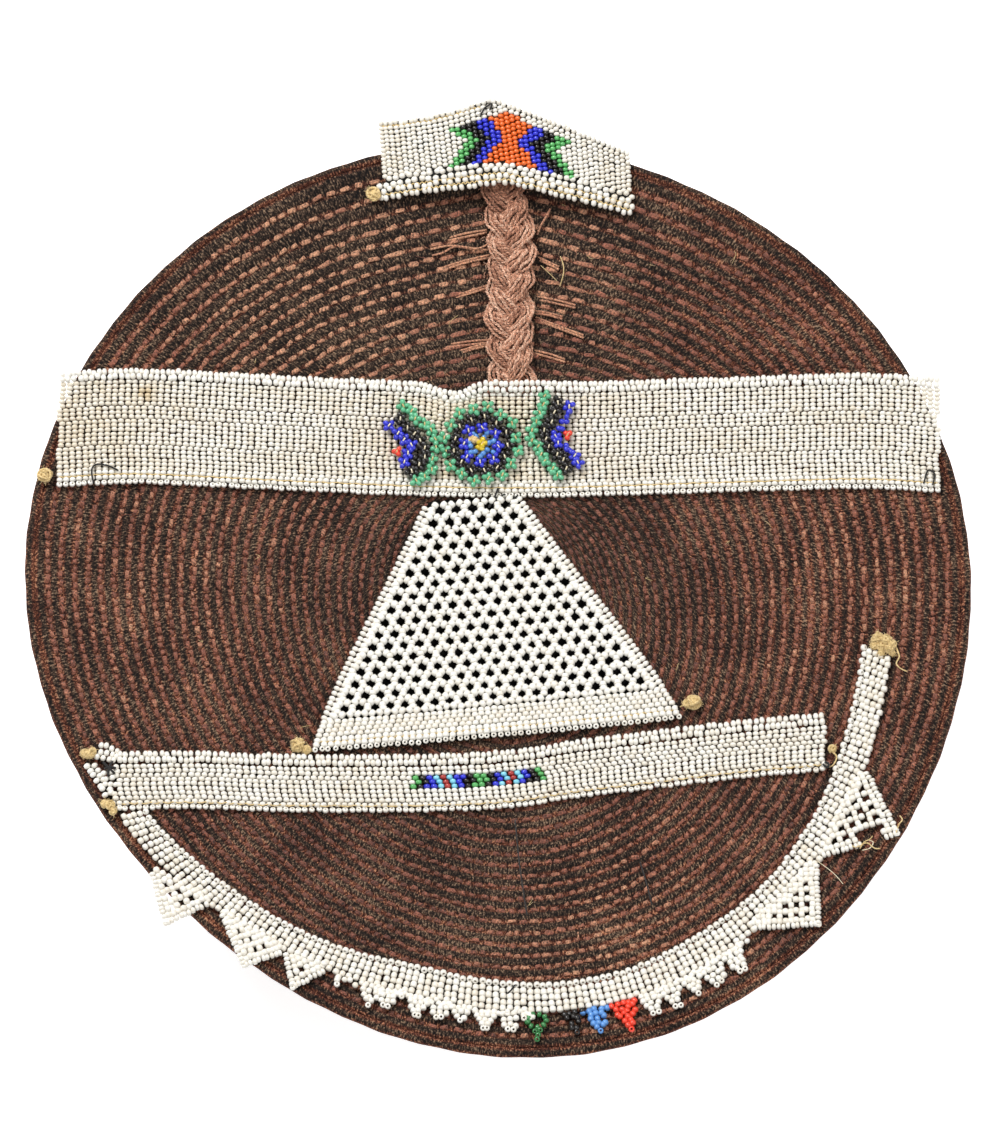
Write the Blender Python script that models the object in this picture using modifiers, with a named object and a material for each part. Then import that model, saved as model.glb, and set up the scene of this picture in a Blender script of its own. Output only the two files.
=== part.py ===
"""Isicholo: the wide, flared hat of a married Zulu woman, with beadwork sewn on its dished top.

The hat is quilted cloth, stiffened from inside. A shallow dish forms the top. A flared side runs from
the rim down to the head opening, and a thin roll binds the rim. A plaited cord lies on the back seam.
On the dish lie a wide bead band with three bead flowers, a netted bead panel that hangs from it, a
narrow band, a curved collar with points, and a panel that stands out over the back of the rim.

Blender 4.5, metres, +Z up, the front of the hat towards -Y. The hat stands on its head opening.
Plan places are measured from the middle of the rim, and follow the rim's radius as shares of it.
"""

import math

import bmesh
import bpy

MM = 0.001

# The middle of the rim in the object's frame: the back panel overhangs, so the rim sits forward
RIM_CENTRE_X = 1.2 * MM
RIM_CENTRE_Y = -5.7 * MM

# The hat's form
RIM_RADIUS = 214.5 * MM
RIM_HEIGHT = 140.0 * MM
DISH_DEPTH = 32.0 * MM
WALL = 5.0 * MM
OPENING_RADIUS = 92.0 * MM
UPRIGHT_BASE = 14.0 * MM
FLARE_POWER = 1.25
ROLL_RADIUS = 2.2 * MM
TURN_STEPS = 58
ROLL_SIDES = 7

# How the rim departs from a circle: number of lobes, height as a share of the radius, crest in degrees
RIM_WAVES = (
    (2, 0.0187, -51.0),
    (3, 0.0114, 40.0),
    (4, 0.0060, 9.0),
)

# Shares of the dish's radius, and of the side's height, where a ring of the surface lies
DISH_RINGS = (0.0, 0.17, 0.33, 0.48, 0.61, 0.73, 0.84, 0.93, 1.0)
SIDE_RINGS = (1.0, 0.86, 0.72, 0.57, 0.42, 0.27, 0.12)

# Clearances: pieces laid on the dish or on each other, and pieces that meet edge to edge
LAY_GAP = 0.4 * MM
EDGE_GAP = 0.5 * MM

# Glass seed beads set the thickness of all the beadwork
BEAD = 3.0 * MM

# Plaited cord on the back seam: its crossings sway left and right along it
BRAID_WIDTH = 20.0 * MM
BRAID_THICKNESS = 8.0 * MM
BRAID_CROSSING = 16.0 * MM
BRAID_TUCK = 8.0 * MM
BRAID_TUCKED_THICKNESS = 2.5 * MM
BRAID_X = (0.022, 0.006)
BRAID_OUTER_END = 0.935
BRAID_STATIONS = 36

# A braid section: place across the half width, and height as a share of the thickness
BRAID_SECTION = (
    (-0.86, 0.0),
    (-1.00, 0.42),
    (-0.62, 0.90),
    (0.00, 1.00),
    (0.62, 0.90),
    (1.00, 0.42),
    (0.86, 0.0),
)

# Wide band: middle line across the dish, as x and y shares of the rim's radius
WIDE_BAND_WIDTH = 54.0 * MM
WIDE_BAND_LINE = (
    (-0.948, 0.334),
    (-0.760, 0.356),
    (-0.420, 0.358),
    (0.000, 0.352),
    (0.420, 0.354),
    (0.760, 0.344),
    (0.938, 0.320),
)
WIDE_BAND_COLUMNS = 42
WIDE_BAND_ROWS = 6
LIFT_SPREAD = 34.0 * MM
LIFT_REACH = 26.0 * MM

# A pinched tuck in the wide band's back edge beside the braid
TUCK_X = -0.112
TUCK_DEPTH = 6.0 * MM
TUCK_SPREAD = 16.0 * MM

# Bead flowers on the wide band: a whole one and two halves that face away from it
FLOWER_RADIUS = 17.0 * MM
HALF_FLOWER_RADIUS = 18.5 * MM
FLOWER_SPACE = 3.0 * MM
FLOWER_HEIGHT = 4.5 * MM
FLOWER_GAP = 0.7 * MM
FLOWER_X = -0.042
FLOWER_ROW = (0.325, 0.336, 0.357)
FLOWER_SIDES = 16

# A flower's section from its underside to its top: share of the radius, and of the height
FLOWER_SECTION = (
    (0.35, 0.0),
    (0.7, 0.0),
    (1.0, 0.0),
    (1.0, 0.62),
    (0.6, 1.0),
)

# Netted panel: a trapezium that hangs from the wide band towards the narrow one
NET_TOP_WIDTH = 46.0 * MM
NET_BASE_WIDTH = 172.0 * MM
NET_X = -0.062
NET_TURN = 6.0
NET_HEM = 14.5 * MM
NET_EDGE = 5.0 * MM
NET_LIFT = 1.6 * MM
NET_ROWS = 10
NET_OPENING = 2.9 * MM
NET_FIRST_ROW_HOLES = 4
NET_CELLS = 6

# Narrow band in front of it: its back edge across the dish, as x and y shares of the rim's radius
NARROW_BAND_WIDTH = 28.0 * MM
NARROW_BAND_EDGE = (
    (-0.856, -0.370),
    (-0.640, -0.359),
    (-0.430, -0.359),
    (-0.030, -0.345),
    (0.196, -0.315),
    (0.490, -0.286),
    (0.684, -0.277),
)
NARROW_BAND_SLANT = 12.0 * MM
NARROW_BAND_COLUMNS = 30
NARROW_BAND_ROWS = 3

# Collar inside the front of the rim: inner edge by direction in degrees and share of the rim's radius
COLLAR_WIDTH = 14.0 * MM
COLLAR_EDGE = (
    (215.0, 0.892),
    (227.0, 0.873),
    (237.0, 0.862),
    (247.0, 0.853),
    (258.0, 0.842),
    (267.0, 0.853),
    (277.0, 0.867),
    (287.0, 0.872),
    (298.0, 0.862),
    (310.0, 0.851),
    (320.0, 0.831),
    (331.0, 0.806),
    (341.0, 0.786),
    (350.5, 0.777),
)
COLLAR_STEP = 4.0

# Points along the collar: direction, base width, tip width and the tip's lean, all in degrees round
# the rim, and the reach as a share of the collar's width
NETTED_POINTS = (
    (225.3, 7.90, 1.50, 1.90, 1.30),
    (236.1, 9.20, 2.60, 1.40, 0.98),
    (325.0, 13.00, 3.00, 0.65, 1.69),
    (311.0, 12.00, 3.90, 0.60, 1.17),
)
PLAIN_POINTS = (
    (243.9, 5.40, 2.20, -0.4, 0.87),
    (253.2, 2.30, 0.72, 0.0, 0.67),
    (255.7, 2.20, 1.10, 0.0, 0.59),
    (259.4, 2.50, 0.72, 0.0, 0.66),
    (262.3, 2.50, 1.10, 0.0, 0.58),
    (265.1, 2.20, 1.10, 0.0, 0.57),
    (268.1, 2.50, 0.72, 0.0, 0.67),
    (271.1, 2.90, 1.10, 0.0, 0.64),
    (288.8, 2.50, 1.10, 0.0, 0.73),
    (291.6, 2.30, 0.72, 0.0, 0.81),
    (294.7, 2.60, 1.10, 0.0, 0.63),
    (298.2, 2.80, 0.72, -0.4, 0.79),
    (301.4, 2.80, 0.72, -0.4, 0.85),
)
POINT_OPENING = 2.2 * MM

# Coloured points, each a piece of its own: name, direction, base and tip width in degrees, reach as a
# share of the collar's width, and colour
COLOURED_POINTS = (
    ("green_point", 274.9, 3.30, 0.86, 1.04, (0.03, 0.15, 0.05)),
    ("black_point", 278.9, 2.90, 0.86, 0.77, (0.02, 0.02, 0.03)),
    ("blue_point", 282.1, 3.00, 0.86, 0.84, (0.07, 0.20, 0.58)),
    ("red_point", 285.6, 3.00, 0.86, 0.98, (0.62, 0.05, 0.03)),
)

# Back panel, laid over the braid's end like a tent: left end, ridge and right end, as shares of the
# rim's radius, for its outer and its inner edge
PANEL_OUTER = ((-0.268, 1.036), (-0.020, 1.072), (0.280, 0.968))
PANEL_INNER = ((-0.252, 0.869), (0.008, 0.890), (0.286, 0.833))
PANEL_COLUMNS = 7
PANEL_ROWS = 4

# Thread knots at the ends of the beadwork
KNOT_RADIUS = 4.0 * MM
SMALL_KNOT_RADIUS = 2.2 * MM
KNOT_FLATTEN = 0.75

CLOTH = (0.055, 0.028, 0.018)
YARN = (0.38, 0.16, 0.09)
WHITE_BEADS = (0.82, 0.79, 0.70)
SEA_GREEN_BEADS = (0.12, 0.45, 0.22)
THREAD = (0.62, 0.42, 0.18)


def clear_scene():
    """Empties the scene, so that a run always starts from nothing."""
    for obj in list(bpy.data.objects):
        bpy.data.objects.remove(obj, do_unlink=True)


def new_collection(name):
    """A collection of that name in the scene."""
    collection = bpy.data.collections.new(name)
    bpy.context.scene.collection.children.link(collection)
    return collection


def new_material(name, colour, roughness):
    """A Principled material for one piece."""
    material = bpy.data.materials.new(name)
    material.use_nodes = True
    shader = material.node_tree.nodes["Principled BSDF"]
    shader.inputs["Base Color"].default_value = (*colour, 1.0)
    shader.inputs["Roughness"].default_value = roughness
    shader.inputs["Metallic"].default_value = 0.0
    return material


def new_piece(hat, name, mesh, colour, roughness):
    """An object of the hat that holds the mesh, with a material of its own, under the hat's empty."""
    obj = bpy.data.objects.new(name, mesh)
    hat["collection"].objects.link(obj)
    obj.parent = hat["empty"]
    mesh.materials.append(new_material(name, colour, roughness))
    return obj


def polar(angle, radius):
    """The plan point at that angle in radians and radius."""
    return radius * math.cos(angle), radius * math.sin(angle)


def through(points, share):
    """The point at a share of the way along a smooth line through the points."""
    place = share * (len(points) - 1)
    start = min(int(place), len(points) - 2)
    t = place - start
    before = points[max(start - 1, 0)]
    after = points[min(start + 2, len(points) - 1)]
    first = points[start]
    second = points[start + 1]
    return tuple(
        0.5 * (2 * q + (r - p) * t + (2 * p - 5 * q + 4 * r - s) * t**2 + (3 * q - p - 3 * r + s) * t**3)
        for p, q, r, s in zip(before, first, second, after)
    )


def shares_to_plan(points):
    """Points given as shares of the rim's radius, as plan points."""
    return [(x * RIM_RADIUS, y * RIM_RADIUS) for x, y in points]


def smooth_fall(distance, flat, spread):
    """1 within flat of a middle, falling smoothly to 0 over the spread beyond it."""
    t = min(max((abs(distance) - flat) / spread, 0.0), 1.0)
    return 0.5 + 0.5 * math.cos(math.pi * t)


def rim_wave(angle):
    """How far the rim departs from its circle at that angle, as a share of the radius."""
    return sum(share * math.cos(lobes * (angle - math.radians(crest))) for lobes, share, crest in RIM_WAVES)


def dish_height(x, y):
    """Height of the dish's top at a plan point. It goes on in a straight line outside the rim."""
    share = math.hypot(x, y) / (RIM_RADIUS * (1.0 + rim_wave(math.atan2(y, x))))
    if share > 1.0:
        return RIM_HEIGHT + 2.0 * DISH_DEPTH * (share - 1.0)
    return RIM_HEIGHT - DISH_DEPTH * (1.0 - share**2)


def turned_dish_height(radius):
    """Height of the dish's top before the rim's waves are pressed into it."""
    return RIM_HEIGHT - DISH_DEPTH * (1.0 - (radius / RIM_RADIUS) ** 2)


def dish_slope(radius):
    """The dish's rise at that radius, as an angle above the level."""
    return math.atan(2.0 * DISH_DEPTH * radius / RIM_RADIUS**2)


def dish_radius():
    """Radius of the dish's top edge, which leaves room for the roll round the rim."""
    rise = dish_slope(RIM_RADIUS)
    roll_reach = ROLL_RADIUS + (LAY_GAP + ROLL_RADIUS) * math.cos(rise)
    return RIM_RADIUS - roll_reach - 0.5 * WALL * math.sin(rise)


def turned_mesh(name, profile, closed, spread):
    """A profile of (radius, height) pairs turned about Z, then pressed out to the rim's waves.

    spread gives, for a height, how much of the rim's waves the surface takes there.
    """
    edges = [(i, i + 1) for i in range(len(profile) - 1)]
    if closed:
        edges.append((len(profile) - 1, 0))
    line = bpy.data.meshes.new(name + "_profile")
    line.from_pydata([(radius, 0.0, height) for radius, height in profile], edges, [])
    turning = bpy.data.objects.new(name + "_profile", line)
    bpy.context.scene.collection.objects.link(turning)
    screw = turning.modifiers.new("turn", "SCREW")
    screw.steps = TURN_STEPS
    screw.render_steps = TURN_STEPS
    screw.use_merge_vertices = True
    screw.merge_threshold = 0.00005
    bpy.context.view_layer.update()
    mesh = bpy.data.meshes.new_from_object(turning.evaluated_get(bpy.context.evaluated_depsgraph_get()))
    bpy.data.objects.remove(turning, do_unlink=True)
    mesh.name = name
    for vertex in mesh.vertices:
        stretch = 1.0 + spread(vertex.co.z) * rim_wave(math.atan2(vertex.co.y, vertex.co.x))
        vertex.co.x *= stretch
        vertex.co.y *= stretch
    face_outwards(mesh)
    mesh.shade_smooth()
    mesh.set_sharp_from_angle(angle=math.radians(40.0))
    return mesh


def face_outwards(mesh):
    """Turns the faces of a closed mesh outwards."""
    work = bmesh.new()
    work.from_mesh(mesh)
    bmesh.ops.recalc_face_normals(work, faces=work.faces)
    work.to_mesh(mesh)
    work.free()


def make_dish(hat):
    """The dished top: an even wall that ends square at the roll."""
    outer = dish_radius()
    top = [(share * outer, turned_dish_height(share * outer)) for share in DISH_RINGS]
    under = []
    for radius, height in reversed(top):
        slope = dish_slope(radius)
        under.append((radius + WALL * math.sin(slope), height - WALL * math.cos(slope)))
    mesh = turned_mesh("dish_top", top + under, False, lambda height: 1.0)
    return new_piece(hat, "dish_top", mesh, CLOTH, 0.95)


def side_profile():
    """Closed profile of the flared side: down its outer face, across the base and up its inner face."""
    top_radius = dish_radius()
    rise = dish_slope(top_radius)
    top_height = turned_dish_height(top_radius) - WALL / math.cos(rise) - LAY_GAP
    base_radius = OPENING_RADIUS + WALL
    outer = []
    for share in SIDE_RINGS:
        radius = base_radius + (top_radius - base_radius) * share**FLARE_POWER
        outer.append((radius, UPRIGHT_BASE + (top_height - UPRIGHT_BASE) * share))
    outer.append((base_radius, UPRIGHT_BASE))
    outer.append((base_radius, 0.0))
    inner = []
    for (above_r, above_z), (radius, height), (below_r, below_z) in zip(outer, outer[1:], outer[2:]):
        along = math.atan2(above_z - below_z, above_r - below_r)
        inner.append((radius - WALL * math.sin(along), height + WALL * math.cos(along)))
    lean = math.atan2(outer[0][1] - outer[1][1], outer[0][0] - outer[1][0])
    seat = WALL / math.sin(lean - rise)
    inner_top = (top_radius - seat * math.cos(rise), top_height - seat * math.sin(rise))
    return outer + [(OPENING_RADIUS, 0.0)] + inner[::-1] + [inner_top]


def make_side(hat):
    """The flared side, round at the head opening and taking the rim's waves as it rises."""
    profile = side_profile()
    top_height = profile[0][1]

    def spread(height):
        return min(max((height - UPRIGHT_BASE) / (top_height - UPRIGHT_BASE), 0.0), 1.0)

    mesh = turned_mesh("flared_side", profile, True, spread)
    return new_piece(hat, "flared_side", mesh, CLOTH, 0.95)


def make_roll(hat):
    """The thin roll that binds the rim, against the dish's square edge."""
    edge = dish_radius()
    slope = dish_slope(edge)
    reach = LAY_GAP + ROLL_RADIUS
    middle_r = edge + 0.5 * WALL * math.sin(slope) + reach * math.cos(slope)
    middle_z = turned_dish_height(edge) - 0.5 * WALL * math.cos(slope) + reach * math.sin(slope)
    ring = []
    for side in range(ROLL_SIDES):
        turn = math.radians(90.0) - 2.0 * math.pi * side / ROLL_SIDES
        ring.append((middle_r + ROLL_RADIUS * math.cos(turn), middle_z + ROLL_RADIUS * math.sin(turn)))
    mesh = turned_mesh("rim_roll", ring, True, lambda height: 1.0)
    return new_piece(hat, "rim_roll", mesh, CLOTH, 0.95)


def braid_line():
    """Inner and outer end of the braid's middle line, in plan."""
    inner_y = wide_band_back() - BRAID_TUCK
    return (BRAID_X[0] * RIM_RADIUS, inner_y), (BRAID_X[1] * RIM_RADIUS, BRAID_OUTER_END * RIM_RADIUS)


def wide_band_back():
    """y of the wide band's back edge where the braid passes under it."""
    return WIDE_BAND_LINE[3][1] * RIM_RADIUS + 0.5 * WIDE_BAND_WIDTH


def braid_thickness(y):
    """The braid thins where the wide band presses on it."""
    inner_y = wide_band_back() - BRAID_TUCK
    share = min(max((y - inner_y) / (2.0 * BRAID_TUCK), 0.0), 1.0)
    return BRAID_TUCKED_THICKNESS + (BRAID_THICKNESS - BRAID_TUCKED_THICKNESS) * share


def make_braid(hat):
    """The plaited cord: a loft whose crest sways from side to side at each crossing."""
    (start_x, start_y), (end_x, end_y) = braid_line()
    length = end_y - start_y
    points = []
    for station in range(BRAID_STATIONS + 1):
        share = station / BRAID_STATIONS
        y = start_y + length * share
        phase = math.pi * length * share / BRAID_CROSSING
        middle = start_x + (end_x - start_x) * share
        half = 0.5 * BRAID_WIDTH * (0.95 + 0.05 * math.cos(2.0 * phase))
        sway = 0.06 * BRAID_WIDTH * math.sin(phase)
        for across, high in BRAID_SECTION:
            x = middle + half * across + sway
            height = high * braid_thickness(y) * (1.0 - 0.12 * abs(math.sin(phase)) * (high == 1.0))
            points.append((x, y, dish_height(x, y) + LAY_GAP + height))
    count = len(BRAID_SECTION)
    faces = []
    for station in range(BRAID_STATIONS):
        for side in range(count):
            a = station * count + side
            b = station * count + (side + 1) % count
            faces.append((a, b, b + count, a + count))
    faces.append(tuple(range(count)))
    faces.append(tuple(BRAID_STATIONS * count + side for side in range(count)))
    mesh = bpy.data.meshes.new("seam_braid")
    mesh.from_pydata(points, [], faces)
    face_outwards(mesh)
    mesh.shade_smooth()
    return new_piece(hat, "seam_braid", mesh, YARN, 0.9)


def sheet_mesh(name, rows, faces, height):
    """An open sheet, faces up: plan points in rows, given heights by a function of x and y."""
    points = [(x, y, height(x, y)) for x, y in rows]
    mesh = bpy.data.meshes.new(name)
    mesh.from_pydata(points, [], faces)
    work = bmesh.new()
    work.from_mesh(mesh)
    work.normal_update()
    turned = [face for face in work.faces if face.normal.z < 0.0]
    bmesh.ops.reverse_faces(work, faces=turned)
    work.to_mesh(mesh)
    work.free()
    return mesh


def grid_faces(columns, rows):
    """Four-sided faces of a grid with that many cells, points listed column by column."""
    faces = []
    for column in range(columns):
        for row in range(rows):
            a = column * (rows + 1) + row
            faces.append((a, a + 1, a + rows + 2, a + rows + 1))
    return faces


def thicken(piece, thickness):
    """Gives a sheet its thickness, upwards."""
    solid = piece.modifiers.new("thickness", "SOLIDIFY")
    solid.thickness = thickness
    solid.offset = 1.0
    solid.use_even_offset = True
    return piece


def on_dish(x, y):
    """Height of a sheet laid on the dish."""
    return dish_height(x, y) + LAY_GAP


def over_braid(x, y):
    """How far the wide band is lifted where the braid's end lies under it."""
    (start_x, start_y), _ = braid_line()
    across = smooth_fall(x - start_x, 0.5 * BRAID_WIDTH + 2.0 * LAY_GAP, LIFT_SPREAD)
    along = smooth_fall(min(y - start_y + LAY_GAP, 0.0), 0.0, LIFT_REACH)
    return (braid_thickness(y) + 2.0 * LAY_GAP) * across * along


def wide_band_height(x, y):
    """Height of the wide band's underside."""
    return on_dish(x, y) + over_braid(x, y)


def above(height, x, y, thickness):
    """Height of what lies on a sheet of that thickness, whose underside a function of x and y gives."""
    step = BEAD
    rise_x = (height(x + step, y) - height(x - step, y)) / (2.0 * step)
    rise_y = (height(x, y + step) - height(x, y - step)) / (2.0 * step)
    return height(x, y) + thickness * math.sqrt(1.0 + rise_x**2 + rise_y**2)


def make_wide_band(hat):
    """The wide band across the back of the dish, up over the braid's end."""
    line = shares_to_plan(WIDE_BAND_LINE)
    points = []
    for column in range(WIDE_BAND_COLUMNS + 1):
        x, middle = through(line, column / WIDE_BAND_COLUMNS)
        dip = TUCK_DEPTH * smooth_fall(x - TUCK_X * RIM_RADIUS, 0.0, TUCK_SPREAD)
        for row in range(WIDE_BAND_ROWS + 1):
            share = row / WIDE_BAND_ROWS
            y = middle + WIDE_BAND_WIDTH * (share - 0.5) - dip * max(2.0 * share - 1.0, 0.0)
            points.append((x, y))
    mesh = sheet_mesh("wide_band", points, grid_faces(WIDE_BAND_COLUMNS, WIDE_BAND_ROWS), wide_band_height)
    return thicken(new_piece(hat, "wide_band", mesh, WHITE_BEADS, 0.3), BEAD)


def make_flower(hat, name, middle_x, middle_y, radius, first, last):
    """A low domed flower on the wide band, its sides from angle first to last in degrees.

    A half flower is closed at both ends of its turn, which makes its cut side.
    """
    whole = last - first >= 360.0
    sides = FLOWER_SIDES if whole else FLOWER_SIDES // 2
    spokes = sides if whole else sides + 1
    points = [(middle_x, middle_y, 0.0), (middle_x, middle_y, 1.0)]
    for spoke in range(spokes):
        angle = math.radians(first + (last - first) * spoke / sides)
        for out, high in FLOWER_SECTION:
            dx, dy = polar(angle, radius * out)
            points.append((middle_x + dx, middle_y + dy, high))
    count = len(FLOWER_SECTION)
    faces = []
    for side in range(sides):
        a = 2 + side * count
        b = 2 + (side + 1) % spokes * count
        faces.append((0, a, b))
        faces.append((1, a + count - 1, b + count - 1))
        for level in range(count - 1):
            faces.append((a + level, b + level, b + level + 1, a + level + 1))
    if not whole:
        for a in (2, 2 + sides * count):
            faces.append((0, *range(a, a + count), 1))
    solid = []
    for x, y, high in points:
        solid.append((x, y, above(wide_band_height, x, y, BEAD + FLOWER_GAP) + high * FLOWER_HEIGHT))
    mesh = bpy.data.meshes.new(name)
    mesh.from_pydata(solid, [], faces)
    face_outwards(mesh)
    return new_piece(hat, name, mesh, SEA_GREEN_BEADS, 0.2)


def make_flowers(hat):
    """The whole flower and the two halves beside it, which turn their cut sides away."""
    middle = FLOWER_X * RIM_RADIUS
    apart = FLOWER_RADIUS + HALF_FLOWER_RADIUS + FLOWER_SPACE
    left_y, whole_y, right_y = (share * RIM_RADIUS for share in FLOWER_ROW)
    make_flower(hat, "whole_flower", middle, whole_y, FLOWER_RADIUS, 0.0, 360.0)
    make_flower(hat, "left_half_flower", middle - apart, left_y, HALF_FLOWER_RADIUS, -90.0, 90.0)
    make_flower(hat, "right_half_flower", middle + apart, right_y, HALF_FLOWER_RADIUS, 90.0, 270.0)


def net_frame():
    """Top middle of the netted panel in plan, its unit vectors across and down, and its length.

    It hangs from the wide band's front edge, and its left corner reaches the narrow band.
    """
    turn = math.radians(NET_TURN)
    across = (math.cos(turn), math.sin(turn))
    down = (math.sin(turn), -math.cos(turn))
    top_y = WIDE_BAND_LINE[3][1] * RIM_RADIUS - 0.5 * WIDE_BAND_WIDTH - EDGE_GAP
    top = (NET_X * RIM_RADIUS, top_y - 0.5 * NET_TOP_WIDTH * math.sin(turn))
    reach = shares_to_plan(NARROW_BAND_EDGE)[2][1]
    corner_drop = top[1] - 0.5 * NET_BASE_WIDTH * math.sin(turn) - reach
    return top, across, down, (corner_drop - 2.0 * EDGE_GAP) / math.cos(turn)


def net_point(u, v):
    """Plan point of the net at u across and v down, in metres from its top middle."""
    top, across, down, _ = net_frame()
    return top[0] + across[0] * u + down[0] * v, top[1] + across[1] * u + down[1] * v


def net_height(x, y):
    """The net stands a little off the dish, for it hangs taut across the hollow."""
    return on_dish(x, y) + NET_LIFT * (1.0 - min(math.hypot(x, y) / RIM_RADIUS, 1.0) ** 2)


def net_holes():
    """Plan middles of the net's openings: staggered rows, each with one more than the row above."""
    length = net_frame()[3]
    row_pitch = (length - NET_HEM) / (NET_ROWS + 0.5)
    widening = (NET_BASE_WIDTH - NET_TOP_WIDTH) / length
    holes = []
    for row in range(NET_ROWS):
        v = row_pitch * (row + 0.75)
        count = NET_FIRST_ROW_HOLES + row
        room = NET_TOP_WIDTH + widening * v - 2.0 * NET_EDGE
        pitch = room / count
        for hole in range(count):
            holes.append(net_point(pitch * (hole - 0.5 * (count - 1)), v))
    return holes


def make_cutter(hat, name, holes, size, turn):
    """One hidden mesh of upright four-sided prisms at the holes, to cut openings with."""
    work = bmesh.new()
    for x, y in holes:
        made = bmesh.ops.create_cone(
            work, cap_ends=True, segments=4, radius1=size, radius2=size, depth=8.0 * BEAD
        )
        for vertex in made["verts"]:
            dx, dy = vertex.co.x, vertex.co.y
            vertex.co.x = x + dx * math.cos(turn) - dy * math.sin(turn)
            vertex.co.y = y + dx * math.sin(turn) + dy * math.cos(turn)
            vertex.co.z += dish_height(x, y) + BEAD
    mesh = bpy.data.meshes.new(name)
    work.to_mesh(mesh)
    work.free()
    cutter = bpy.data.objects.new(name, mesh)
    hat["cutters"].objects.link(cutter)
    cutter.parent = hat["empty"]
    cutter.hide_render = True
    cutter.display_type = "WIRE"
    return cutter


def cut_with(piece, cutter):
    """Cuts the cutter's shape out of the piece."""
    cut = piece.modifiers.new("openings", "BOOLEAN")
    cut.operation = "DIFFERENCE"
    cut.solver = "EXACT"
    cut.object = cutter
    return piece


def make_net(hat):
    """The netted panel with its openings cut through above a closed hem."""
    length = net_frame()[3]
    points = []
    for column in range(NET_CELLS + 1):
        for row in range(NET_CELLS + 1):
            share = row / NET_CELLS
            width = NET_TOP_WIDTH + (NET_BASE_WIDTH - NET_TOP_WIDTH) * share
            points.append(net_point(width * (column / NET_CELLS - 0.5), length * share))
    mesh = sheet_mesh("netted_panel", points, grid_faces(NET_CELLS, NET_CELLS), net_height)
    net = thicken(new_piece(hat, "netted_panel", mesh, WHITE_BEADS, 0.3), BEAD)
    cutter = make_cutter(hat, "net_openings", net_holes(), NET_OPENING, math.radians(NET_TURN))
    return cut_with(net, cutter)


def make_narrow_band(hat):
    """The narrow band in front of the net, its left end cut on a slant."""
    line = shares_to_plan(NARROW_BAND_EDGE)
    points = []
    for column in range(NARROW_BAND_COLUMNS + 1):
        along = column / NARROW_BAND_COLUMNS
        x, back = through(line, along)
        slant = NARROW_BAND_SLANT * max(1.0 - 6.0 * along, 0.0)
        for row in range(NARROW_BAND_ROWS + 1):
            share = row / NARROW_BAND_ROWS
            points.append((x + slant * share, back - NARROW_BAND_WIDTH * share))
    mesh = sheet_mesh("narrow_band", points, grid_faces(NARROW_BAND_COLUMNS, NARROW_BAND_ROWS), on_dish)
    return thicken(new_piece(hat, "narrow_band", mesh, WHITE_BEADS, 0.3), BEAD)


def collar_point(degrees, outward):
    """Plan point of the collar in that direction, a length outward of its inner edge."""
    table = COLLAR_EDGE
    place = 0
    while place < len(table) - 2 and degrees > table[place + 1][0]:
        place += 1
    span = table[place + 1][0] - table[place][0]
    share = (place + (degrees - table[place][0]) / span) / (len(table) - 1)
    radius = through([(value,) for _, value in table], share)[0] * RIM_RADIUS + outward
    return polar(math.radians(degrees), radius)


def collar_start():
    """Direction in which the collar starts: just clear of the narrow band's left end."""
    band_front = min(NARROW_BAND_EDGE[0][1], NARROW_BAND_EDGE[1][1]) * RIM_RADIUS - NARROW_BAND_WIDTH
    degrees = COLLAR_EDGE[0][0]
    while collar_point(degrees, 0.0)[1] > band_front - EDGE_GAP:
        degrees += 0.25
    return degrees


def make_collar(hat):
    """The collar with its white points fused to it, netted in the four large ones."""
    last = COLLAR_EDGE[-1][0]
    points = NETTED_POINTS + PLAIN_POINTS
    spans = {}
    for point in points:
        spans[point] = (point[0] - 0.5 * point[1], point[0] + 0.5 * point[1])
    stations = {last, collar_start()}
    for low, high in spans.values():
        stations.update((low, high))
    step = collar_start() + COLLAR_STEP
    while step < last - 0.5 * COLLAR_STEP:
        if all(abs(step - other) > 0.3 * COLLAR_STEP for other in stations):
            stations.add(step)
        step += COLLAR_STEP
    stations = sorted(stations)
    plan = []
    for degrees in stations:
        plan += [collar_point(degrees, COLLAR_WIDTH * share) for share in (0.0, 0.5, 1.0)]
    faces = grid_faces(len(stations) - 1, 2)
    for point, (low, high) in spans.items():
        direction, _, tip, lean, reach = point
        outer_row = [i * 3 + 2 for i, degrees in enumerate(stations) if low <= degrees <= high]
        tips = []
        for side in (0.5, -0.5):
            plan.append(collar_point(direction + lean + side * tip, COLLAR_WIDTH * (1.0 + reach)))
            tips.append(len(plan) - 1)
        faces.append(tuple(outer_row + tips))
    mesh = sheet_mesh("collar", plan, faces, on_dish)
    collar = thicken(new_piece(hat, "collar", mesh, WHITE_BEADS, 0.3), BEAD)
    cutter = make_cutter(hat, "point_openings", point_holes(), POINT_OPENING, math.radians(10.0))
    return cut_with(collar, cutter)


def point_holes():
    """Plan middles of the openings in the four netted points: rows of three, two and one."""
    holes = []
    for direction, base, tip, lean, reach in NETTED_POINTS:
        for row in range(3):
            share = (row + 0.7) / 3.9
            width = base + (tip - base) * share
            for hole in range(3 - row):
                along = lean * share + width * 0.62 * (hole - 0.5 * (2 - row)) / max(3 - row, 2)
                holes.append(collar_point(direction + along, COLLAR_WIDTH * (1.0 + reach * share)))
    return holes


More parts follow.
